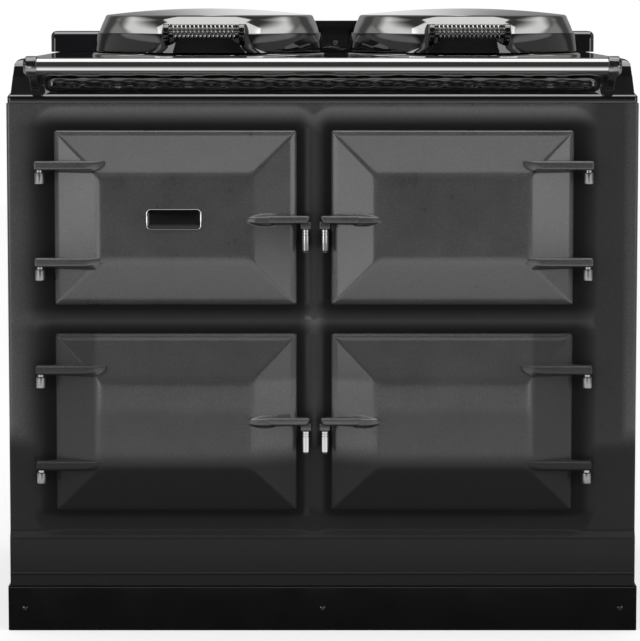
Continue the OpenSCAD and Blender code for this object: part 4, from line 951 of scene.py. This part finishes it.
def arm(s, root, tip, rim_x, z, h, proud, bore, root_cut, tip_cut, edge):
    """A cast arm from x = root to x = tip, h high; bore is the place of a pin, or None."""
    turn = np.linspace(0, math.pi / 2, 5)
    levels = [(z - h / 2 + edge * (1 - math.sin(a)), edge * (1 - math.cos(a))) for a in turn[::-1]]
    levels += [(z - h / 2 + edge + (h - 2 * edge) * k, 0.0) for k in (0.25, 0.5, 0.75)]
    levels += [(z + h / 2 - edge * (1 - math.sin(a)), edge * (1 - math.cos(a))) for a in turn]
    rings = []
    for level, d in levels:
        k = np.clip((level - z + h / 2) / h, 0, 1)
        start = root + s * root_cut * (1 - math.sqrt(1 - (1 - k) ** 2))
        end = tip - s * (tip_cut * (1 - k) ** 1.6 + d)
        face = flat_y - proud + d
        ring = [(start + s * 26 * t, flat_y + 1.2 - (flat_y + 1.2 - face) * float(smooth_step(t)))
                for t in np.linspace(0, 1, 9)]
        r = 3.0
        ring += [(end - s * (r - r * math.sin(a)), face + r - r * math.cos(a))
                 for a in np.linspace(0, math.pi / 2, 6)]
        if bore is None:
            ring += [(end, flat_y + 11 - d), (end - s * 2, flat_y + 12 - d)]
        else:
            ring += [(end, flat_y + 4.2), (bore - s * 4.3, flat_y + 4.2)]
            ring += [(bore - s * 4.3, flat_y + 11 - d), (bore - s * 5.3, flat_y + 12 - d)]
        ring += [(rim_x, door_back - rim_t + 3), (start + s * 4, door_back - rim_t + 3)]
        rings.append([(x, y, level) for x, y in ring])
    return loft(rings)


def tube(x, y, z0, z1, outer, inner, edge=1.0, steps=48):
    turn = np.linspace(0, math.pi / 2, 4)
    profile = [(inner, z0)]
    profile += [(outer - edge + edge * math.sin(a), z0 + edge - edge * math.cos(a)) for a in turn]
    profile += [(outer - edge + edge * math.cos(a), z1 - edge + edge * math.sin(a)) for a in turn]
    profile += [(inner, z1)]
    return lathe(profile, (x, y, 0), steps)


print("arm builder ready")

# %% Doors with their arms
collar_w, collar_h = 16.0, 9.0
head_h, head_r = 2.5, 4.0
roller_r, roller_pin_r = 5.5, 2.5
for name, door in DOORS.items():
    side = door["side"]
    parts = [door_relief(door)]
    flat_edge = door["x"] + side * (door_w / 2 - bevel_w)
    for z in door["arms"]:
        parts.append(arm(side, flat_edge - side * 9, door["hinge_x"] + side * 7.6,
                         door["x"] + side * (door_w / 2 - 9), z, hinge_arm_h,
                         2.0, door["hinge_x"], 18, 0, arm_edge))
        parts.append(tube(door["hinge_x"], hinge_y, z - hinge_arm_h / 2 + 0.3,
                          z + hinge_arm_h / 2 - 0.3, eye_r - 0.4, 3.55))
    roller_x, roller_foot = door["roller"][:2]
    head_top = roller_foot - 0.3
    under_arm = door["latch"] - latch_arm_h / 2
    parts.append(arm(-side, door["x"] - side * 128, roller_x - side * 6.5,
                     door["x"] - side * (door_w / 2 - 9), door["latch"], latch_arm_h, leaf_proud,
                     None, 2, 5, 3.2))
    collar = round_box_ring(roller_x - collar_w / 2, roller_x + collar_w / 2,
                            hinge_y - 6, hinge_y + 6, 1.5)
    parts.append(cushion(collar, under_arm - collar_h, under_arm + 2, "z", 1.2))
    pin = (roller_x, hinge_y, 0)
    parts.append(rod(head_top - head_h, under_arm, pin, roller_pin_r, "z", 0.4))
    parts.append(rod(head_top - head_h, head_top, pin, head_r, "z", 0.8))
    add_piece(name + "_door_casting", join(*parts), charcoal, name + "_door_leaf",
              [name + "_door"],
              hollow=lambda x, z, door=door: door_hollow(x, z, door))

# %% [markdown]
# ## Latch rollers and hinge barrels
# A roller is a turned chrome sleeve that spins on the pin under the latch, with two grooves near
# its top. A hinge barrel stands on a lug of the front plate and carries the pin of one arm.

# %% Rollers
for name, door in DOORS.items():
    x, z0, z1 = door["roller"]
    bore, r = roller_pin_r + 0.05, roller_r
    profile = [(bore, z0), (r - 0.8, z0), (r, z0 + 0.8)]
    for groove in (z1 - 9, z1 - 5):
        profile += [(r, groove - 0.2), (r - 0.8, groove + 0.1), (r - 0.8, groove + 1.1),
                    (r, groove + 1.4)]
    profile += [(r, z1 - 0.8), (r - 0.8, z1), (bore, z1)]
    add_piece(name + "_latch_sleeve", lathe(profile, (x, hinge_y, 0), 48), chrome,
              name + "_door_latch", [name + "_door_roller"])

# %% Barrels
barrel_parts = []
barrel_h, barrel_drop = 18.0, hinge_arm_h / 2 + 3.8 + 9.0
for door in DOORS.values():
    for z in door["arms"]:
        low = z - barrel_drop - barrel_h / 2
        barrel_parts.append(tube(door["hinge_x"], hinge_y, low, low + barrel_h, 7.4, 3.4, 1.6))
        lug = [(door["hinge_x"] + dx, y) for dx, y in
               ((-4.5, hinge_y + 4), (4.5, hinge_y + 4), (6.5, front_y + 13), (-6.5, front_y + 13))]
        barrel_parts.append(cushion(lug, low + 0.5, low + barrel_h - 0.5, "z", 1.2))
add_piece("hinge_barrels", join(*barrel_parts), barrel_steel, "cooker", ["hinge_brackets"])

# %% [markdown]
# ## Blank plate
# The upper left door has a place for a small plate. It is left blank: a satin black field in a
# thin chrome frame with round corners.

# %% Plate on the control door
plate_x, plate_z, plate_half_w, plate_half_h = -231.0, 654.0, 43.0, 16.5


def plate_ring(d, y):
    corner_r = max(7.0 - d, 1.0)
    ring = round_box_ring(plate_x - plate_half_w + d, plate_x + plate_half_w - d,
                          plate_z - plate_half_h + d, plate_z + plate_half_h - d, corner_r, 8)
    return [(x, y, z) for x, z in ring]


face = flat_y - crown_rise
section = [(0.0, face + 1), (0.0, face - 1.4), (0.35, face - 2.1), (1.0, face - 2.4),
           (1.7, face - 2.1), (2.1, face - 1.3), (2.1, face + 1)]
points, faces = loft([plate_ring(d, y) for d, y in section + section[:1]])
add_piece("door_plate_frame", (points, faces[:-2]), chrome, "control_door_leaf")
field = loft([plate_ring(1.9, face + 0.8), plate_ring(1.9, face - 1.3), plate_ring(2.4, face - 1.5),
              plate_ring(9.0, face - 2.0)])
add_piece("door_plate_field", field, satin_black, "control_door_leaf")

# %% [markdown]
# ## Handrail
# The rail is a chrome tube that is let into a round collar at each end. Behind each collar an arm
# runs back to the horn of the top casting.

# %% Rail
rail_low, rail_high = frame_box("handrail")
rail_y, rail_z = (rail_low[1] + rail_high[1]) / 2, (rail_low[2] + rail_high[2]) / 2
rail_r = (rail_high[2] - rail_low[2]) / 2
tube_profile = [(rail_r - 2, rail_low[0]), (rail_r, rail_low[0]), (rail_r, rail_high[0]),
                (rail_r - 2, rail_high[0])]
add_piece("rail_tube", lathe(tube_profile, (0, rail_y, rail_z), 96, "x"), chrome, "cooker",
          ["handrail"])

# %% Brackets
collar_r, collar_from, collar_to = 15.5, rail_high[0] - 13, rail_high[0] + 5
bracket_parts = []
for s in (-1, 1):
    profile = [(0, collar_from + 6.2), (rail_r + 0.1, collar_from + 6), (rail_r + 0.1, collar_from),
               (collar_r - 1.2, collar_from), (collar_r, collar_from + 1.2),
               (collar_r, collar_to - 2), (collar_r - 0.8, collar_to - 0.5),
               (collar_r - 2.4, collar_to), (collar_r - 3.4, collar_to + 2.2),
               (collar_r - 5, collar_to + 3), (0, collar_to + 3)]
    bracket_parts.append(lathe([(r, s * x) for r, x in profile], (0, rail_y, rail_z), 64, "x"))
    foot = horn_y + 1.5
    outline = [(rail_y, rail_z + 11)] + [
        (rail_y + (foot - rail_y) * t, rail_z + 11 - (rail_z + 11 - top_low[2] - 42) * t
         - 4 * math.sin(math.pi * t)) for t in np.linspace(0.15, 1, 8)]
    outline += [(foot, top_low[2] + 18)] + [
        (rail_y + 5 + (foot - rail_y - 5) * t, rail_z - 14 + (top_low[2] + 18 - rail_z + 14) * t
         + 3 * math.sin(math.pi * t)) for t in np.linspace(0.85, 0.0, 8)]
    outline += [(rail_y - 6, rail_z - 11)]
    x0, x1 = sorted((s * (collar_from + 2), s * (collar_from + 15.5)))
    bracket_parts.append(cushion(outline, x0, x1, "x", 2.0))
add_piece("rail_end_brackets", join(*bracket_parts), dark_chrome, "cooker",
          ["rail_brackets"])

# %% [markdown]
# ## Lids
# A lid is a chrome shell over a black band. Both are turned, so each is one lathe profile. The
# dome is part of a large sphere and meets the sloping side in a tight round edge, which is what
# catches the thin bright line along the top of the lid.

# %% Chrome shells
shell_low, shell_high = lid_boxes["left"]
lid_r = 190.0
band_foot, band_top, shell_top = hob_z + 6.6, shell_low[2], shell_high[2]
shell_side = 29.0
chrome_top, top_r, shoulder = band_top + shell_side, lid_r - 16.0, 6.0
dome_h = shell_top - chrome_top
sphere_r = (top_r ** 2 + dome_h ** 2) / (2 * dome_h)


def dome_z(r):
    return shell_top - sphere_r + math.sqrt(sphere_r ** 2 - r ** 2)


outer = [(r, dome_z(r)) for r in np.linspace(0, top_r - shoulder, 30)]
edge_z = dome_z(top_r - shoulder) - shoulder
outer += arc(top_r - shoulder, edge_z, shoulder, 83, 30, 8)
outer += [(lid_r - 6 - out, band_top + shell_side * k) for out, k in
          ((9.0, 0.76), (7.0, 0.62), (4.3, 0.41), (2.1, 0.22), (0.0, 0.0))]
inner = [(lid_r - 8.5, band_top), (top_r - shoulder - 2, edge_z + 1)]
inner += [(r, dome_z(r) - 2.5) for r in np.linspace(top_r - shoulder - 4, 0, 12)]
for side, (x, y) in LIDS.items():
    add_piece(side + "_lid_dome", lathe(outer + inner, (x, y, 0), 192), chrome, side + "_lid",
              [side + "_lid_shell"])

# %% [markdown]
# The black band, the mount of the handle and its two ears are one casting. The mount hugs the
# band and flares at its foot like a tree trunk, so its rings follow the band's circle in front
# and get wider towards the foot.

# %% Bases with mounts and ears
handle_y, handle_z = y - lid_r - 34.0, band_top + 4.0
coil_half, coil_r_out, ear_t = 55.0, 11.75, 10.0
mount_top = band_top + 15.0
flare = [(110, 0), (104, 1.0), (96, 3.4), (86, 7), (79, 12), (74, 18), (71, 27), (70, 36),
         (69, 40), (66, 46)]
web_z = band_top - 7.0
back_tongue = lid_r + 12.0


def mount_ring(x, y, half, z, grow):
    front = []
    for t in np.linspace(-1, 1, 41):
        bulge = (1 - abs(t) ** 8) ** 0.5
        r = lid_r - 5 + grow * bulge
        front.append((x + half * t, y - math.sqrt(r ** 2 - (half * t) ** 2), z))
    back = [(x + half * t, y - math.sqrt((lid_r - 8) ** 2 - (half * t) ** 2), z)
            for t in np.linspace(1, -1, 41)]
    return front + back


def lid_base(x, y):
    band = [(lid_r - 9, band_foot), (lid_r - 1.4, band_foot), (lid_r - 0.4, band_foot + 0.7),
            (lid_r, band_foot + 2), (lid_r - 0.6, band_foot + 6), (lid_r - 3.2, band_top - 1.2),
            (lid_r - 4.2, band_top), (lid_r - 40, band_top), (lid_r - 40, web_z),
            (lid_r - 9, web_z)]
    parts = [lathe(band, (x, y, 0), 192)]
    parts.append(loft([mount_ring(x, y, half, band_foot + up, 12.0 - (4.0 if up > 43 else 0))
                       for half, up in flare]))
    outline = [(y - lid_r + 12, band_foot + 9)]
    outline += arc(handle_y, handle_z, coil_r_out, 250, 90, 24)
    outline += [(y - lid_r + 12, mount_top)]
    for s in (-1, 1):
        x0, x1 = sorted((x + s * (coil_half + 0.2), x + s * (coil_half + ear_t)))
        parts.append(cushion(outline, x0, x1, "x", 2.0))
    hinge_y2, hinge_z = y + back_tongue, hob_z + 33.0
    tongue = round_box_ring(x - 30, x + 30, y + lid_r - 6, hinge_y2, 2.0)
    parts.append(cushion(tongue, hinge_z - 8, band_top, "z", 1.0))
    turned = [(5.05, x - 30), (8, x - 30), (9, x - 29), (9, x + 29), (8, x + 30), (5.05, x + 30)]
    parts.append(lathe(turned, (0, hinge_y2, hinge_z), 48, "x"))
    return join(*parts)


for side, (x, y) in LIDS.items():
    add_piece(side + "_lid_band", lid_base(x, y), black, side + "_lid",
              [side + "_lid_base"])

# %% [markdown]
# ## Sprung handles
# The hand holds a coil of chrome wire, which stays cool. It is one wire: straight for its own
# thickness where it leaves each ear, and a helix of fifteen curls between. A tube is carried
# along that path, with a ring of points square to the wire at every step.

# %% Coils
wire_r, curls, blend = 1.4, 15, 0.25
coil_r = coil_r_out - wire_r
straight = 2.2 * wire_r
pitch = (2 * coil_half - 2 * straight) / (curls + 2 * blend)


def turns_at(along):
    """Turns made by a place along the coil; they start and stop gently."""
    u, last = (along - straight) / pitch, curls + 2 * blend
    if u <= 0:
        return 0.0
    if u < blend:
        return u * u / (2 * blend)
    if u <= last - blend:
        return u - blend / 2
    if u < last:
        return last - blend - (last - u) ** 2 / (2 * blend)
    return last - blend


def coil(x):
    path = []
    helix = np.linspace(straight, 2 * coil_half - straight, curls * 28)
    for along in np.concatenate([[0, straight * 0.5], helix,
                                 [2 * coil_half - straight * 0.5, 2 * coil_half]]):
        a = 2 * math.pi * turns_at(along)
        path.append(Vector((x - coil_half + along, handle_y + coil_r * math.cos(a),
                            handle_z + coil_r * math.sin(a))))
    rings = []
    for i, point in enumerate(path):
        ahead = (path[min(i + 1, len(path) - 1)] - path[max(i - 1, 0)]).normalized()
        outward = Vector((0, point.y - handle_y, point.z - handle_z)).normalized()
        sideways = ahead.cross(outward).normalized()
        outward = sideways.cross(ahead)
        rings.append([tuple(point + wire_r * (math.cos(t) * outward + math.sin(t) * sideways))
                      for t in np.linspace(0, 2 * math.pi, 12, endpoint=False)])
    return loft(rings)


for side, (x, y) in LIDS.items():
    add_piece(side + "_sprung_coil", coil(x), chrome, side + "_lid",
              [side + "_handle_coil"])

# %% [markdown]
# ## Stage
# The cooker stands on a plain pale floor in a white room, and the camera sees both plain. Gloss and
# chrome look like what they mirror, so mirrored rays see something else. To mirrored rays the floor
# carries a painted shadow right in front of the cooker and a painted pool of light from about 0.6 m
# out to 2 m, and fades after that.

# %% Floor
floor_mesh = bpy.data.meshes.new("floor")
size = 9.0
floor_mesh.from_pydata([(-size, -size, 0), (size, -size, 0), (size, size, 0), (-size, size, 0)],
                       [], [(0, 1, 2, 3)])
floor = bpy.data.objects.new("floor", floor_mesh)
bpy.context.scene.collection.objects.link(floor)
pale, tree, shader = new_finish("pale_floor", Roughness=0.9, Specular_IOR_Level=0.0)
rays = add_node(tree, "ShaderNodeLightPath").outputs
place = add_node(tree, "ShaderNodeTexCoord").outputs["Object"]
way = add_node(tree, "ShaderNodeSeparateXYZ", Vector=place).outputs
past = [calc(tree, "SUBTRACT", calc(tree, "ABSOLUTE", way[axis]), half_body)
        for axis, half_body in (("X", 0.5), ("Y", 0.35))]
ramp_reach = 10.0
share = calc(tree, "DIVIDE", calc(tree, "MAXIMUM", *past), ramp_reach)
painted_floor_light = add_node(tree, "ShaderNodeValToRGB", Fac=share)
# Painted shadow close to the cooker and a painted pool of light from 0.6 m to 2 m, seen only in
# mirrors: distance from the cooker in metres, and brightness.
stops = [(0.30, 0.03), (0.42, 0.16), (0.52, 0.48), (0.60, 0.98), (0.75, 1.05), (1.20, 1.0),
         (1.90, 0.80), (2.40, 0.55), (3.2, 0.30), (4.5, 0.15), (9.0, 0.12)]
ramp = painted_floor_light.color_ramp
while len(ramp.elements) < len(stops):
    ramp.elements.new(1.0)
for element, (distance, level) in zip(ramp.elements, stops):
    element.position = distance / ramp_reach
    element.color = (level, level, level, 1)
clouds = remap(tree, noise(tree, 0.45, 2.0), 0.35, 0.65, 0.88, 1.1)
seen = calc(tree, "MULTIPLY", painted_floor_light.outputs["Color"], clouds)
mirror = calc(tree, "MAXIMUM", rays["Is Glossy Ray"], rays["Is Transmission Ray"])
glow = calc(tree, "MULTIPLY_ADD", rays["Is Camera Ray"], 0.55, calc(tree, "MULTIPLY", seen, mirror))
# To every ray but the camera's the floor's own colour is dark, so that in mirrors it mostly shows
# the painted light and shadow above.
shade = mix(tree, "RGBA", rays["Is Camera Ray"], (0.10, 0.10, 0.10, 1), (0.75, 0.75, 0.75, 1))
tree.links.new(shade, shader.inputs["Base Color"])
shader.inputs["Emission Color"].default_value = (1, 1, 1, 1)
tree.links.new(glow, shader.inputs["Emission Strength"])
floor_mesh.materials.append(pale)
print("floor:", 2 * size, "m square")

# %% [markdown]
# The world is the room. Behind the cooker it is bright in the middle and dim at the sides, which
# level faces mirror. In front it is nearly dark, so that black stays black. High up at both sides
# there is a pale wing for the flanks of the lids, and below it the sides are half dim.

# %% World
world = bpy.data.worlds.new("white_room")
world.use_nodes = True
bpy.context.scene.world = world
tree = world.node_tree
tree.nodes.clear()
rays = add_node(tree, "ShaderNodeLightPath").outputs
place = add_node(tree, "ShaderNodeTexCoord").outputs["Generated"]
way = add_node(tree, "ShaderNodeSeparateXYZ", Vector=place).outputs
aside = calc(tree, "ABSOLUTE", way["X"])


def room_step(value, start, end, low=0.0, high=1.0):
    """Goes softly from one brightness to another as a direction changes."""
    return remap(tree, value, start, end, low, high, interpolation_type="SMOOTHSTEP")


def product(first, *others):
    for other in others:
        first = calc(tree, "MULTIPLY", first, other)
    return first


back_room = product(room_step(aside, 0.005, 0.085, 0.85, 0.25),
                    room_step(aside, 0.42, 0.60, 1.0, 0.28))
front_room = room_step(way["Z"], -0.06, 0.0, 0.14, 0.045)
room = mix(tree, "FLOAT", room_step(way["Y"], -0.1, 0.3), front_room, back_room)
wing = product(room_step(way["Z"], 0.36, 0.44), room_step(way["Z"], 0.50, 0.66, 1.0, 0.0),
               room_step(aside, 0.66, 0.74), room_step(way["Y"], 0.16, 0.42, 1.0, 0.12))
room = mix(tree, "FLOAT", wing, room, 0.85)
beside = product(room_step(aside, 0.70, 0.80), room_step(way["Z"], 0.36, 0.42, 1.0, 0.0))
room = mix(tree, "FLOAT", beside, room, 0.27)
mirror = calc(tree, "MAXIMUM", rays["Is Glossy Ray"], rays["Is Transmission Ray"])
lit = mix(tree, "FLOAT", mirror, 0.55, room)
strength = mix(tree, "FLOAT", rays["Is Camera Ray"], lit, 1.0)
glow = add_node(tree, "ShaderNodeBackground", Color=(1, 1, 1, 1), Strength=strength)
add_node(tree, "ShaderNodeOutputWorld", Surface=glow.outputs[0])
bpy.context.scene.view_settings.view_transform = "Standard"
print("world:", world.name)

# %% [markdown]
# ## Lamps
# A photographer lights gloss with large soft cards and looks at their reflections rather than at
# the light they give. Two cards stand in front at each side, where the bevels of the doors mirror
# them. Two lamps overhead give light but no reflection.

# %% Soft lamps
def soft_lamp(name, at, target, width, height, radiance):
    """A softbox of a given size; radiance 1 is as bright as white paper in daylight."""
    data = bpy.data.lights.new(name, "AREA")
    data.shape = "RECTANGLE"
    data.size, data.size_y = width, height
    data.energy = radiance * math.pi * width * height
    lamp = bpy.data.objects.new(name, data)
    lamp.location = at
    lamp.rotation_euler = (Vector(target) - Vector(at)).to_track_quat("-Z", "Y").to_euler()
    bpy.context.scene.collection.objects.link(lamp)
    print("lamp:", name)
    return lamp


soft_lamp("left_card", (-2.5, -2.6, 0.80), (0, -0.3, 0.7), 1.1, 0.95, 1.9)
soft_lamp("right_card", (2.5, -2.6, 0.80), (0, -0.3, 0.7), 1.1, 0.95, 1.9)
soft_lamp("left_inner_card", (-1.5, -2.6, 0.40), (0, -0.3, 0.4), 0.5, 0.72, 1.7)
soft_lamp("right_inner_card", (1.5, -2.6, 0.18), (0, -0.3, 0.2), 0.5, 0.34, 1.2)
for name, x in (("left_overhead", -2.0), ("right_overhead", 2.0)):
    soft_lamp(name, (x, -1.3, 2.6), (0, 0, 0.9), 1.5, 1.2, 1.6).visible_glossy = False

# %% [markdown]
# Some reflections are wanted on one finish and would spoil another. Blender can link a lamp to a
# collection, and then only what is in it is lit. The front softbox is for the charcoal enamel,
# one is for the chrome of the lids, and two cards straight above brighten edges that face up.

# %% Lamps for some pieces only
def light_only(lamp, label, pieces):
    receivers = bpy.data.collections.new(label)
    for piece in pieces:
        receivers.objects.link(bpy.data.objects[piece])
    lamp.light_linking.receiver_collection = receivers


castings = [door + "_door_casting" for door in DOORS]
light_only(soft_lamp("front_softbox", (0, -4.25, 3.59), (0, 0, 0.6), 4.5, 1.1, 1.3), "enamelled",
           ["enamel_front"] + castings)
light_only(soft_lamp("lid_softbox", (0, -3.2, 3.95), (0, -0.2, 0.95), 9.5, 2.2, 0.9), "lids",
           [side + "_lid_dome" for side in LIDS])
for label, radiance, pieces in (
        ("casting_edges", 3.0, ["enamel_front", "enamel_top", "vent_box_steps", "upstand"]
         + castings + [side + "_lid_band" for side in LIDS]),
        ("bright_edges", 1.35, ["rail_tube", "rail_end_brackets"]
         + [side + "_sprung_coil" for side in LIDS])):
    card = soft_lamp(label + "_card", (0, -0.1, 3.2), (0, -0.1, 0), 4.0, 2.7, radiance)
    light_only(card, label, pieces)

# %% [markdown]
# ## Camera
# The photograph looks level at the cooker through a long lens, from about four and a half metres.
# A slight downward tilt with a small shift keeps the upright edges almost parallel.

# %% Camera
camera_data = bpy.data.cameras.new("camera")
camera_data.sensor_width = 36.0
camera_data.lens = 154.37
camera_data.shift_x, camera_data.shift_y = -0.0039, -0.1182
camera = bpy.data.objects.new("camera", camera_data)
camera.location = (0, -4.603, 0.985)
camera.rotation_euler = (math.radians(90 - 4.98), 0, 0)
bpy.context.scene.collection.objects.link(camera)
bpy.context.scene.camera = camera
print("camera:", camera_data.lens, "mm")
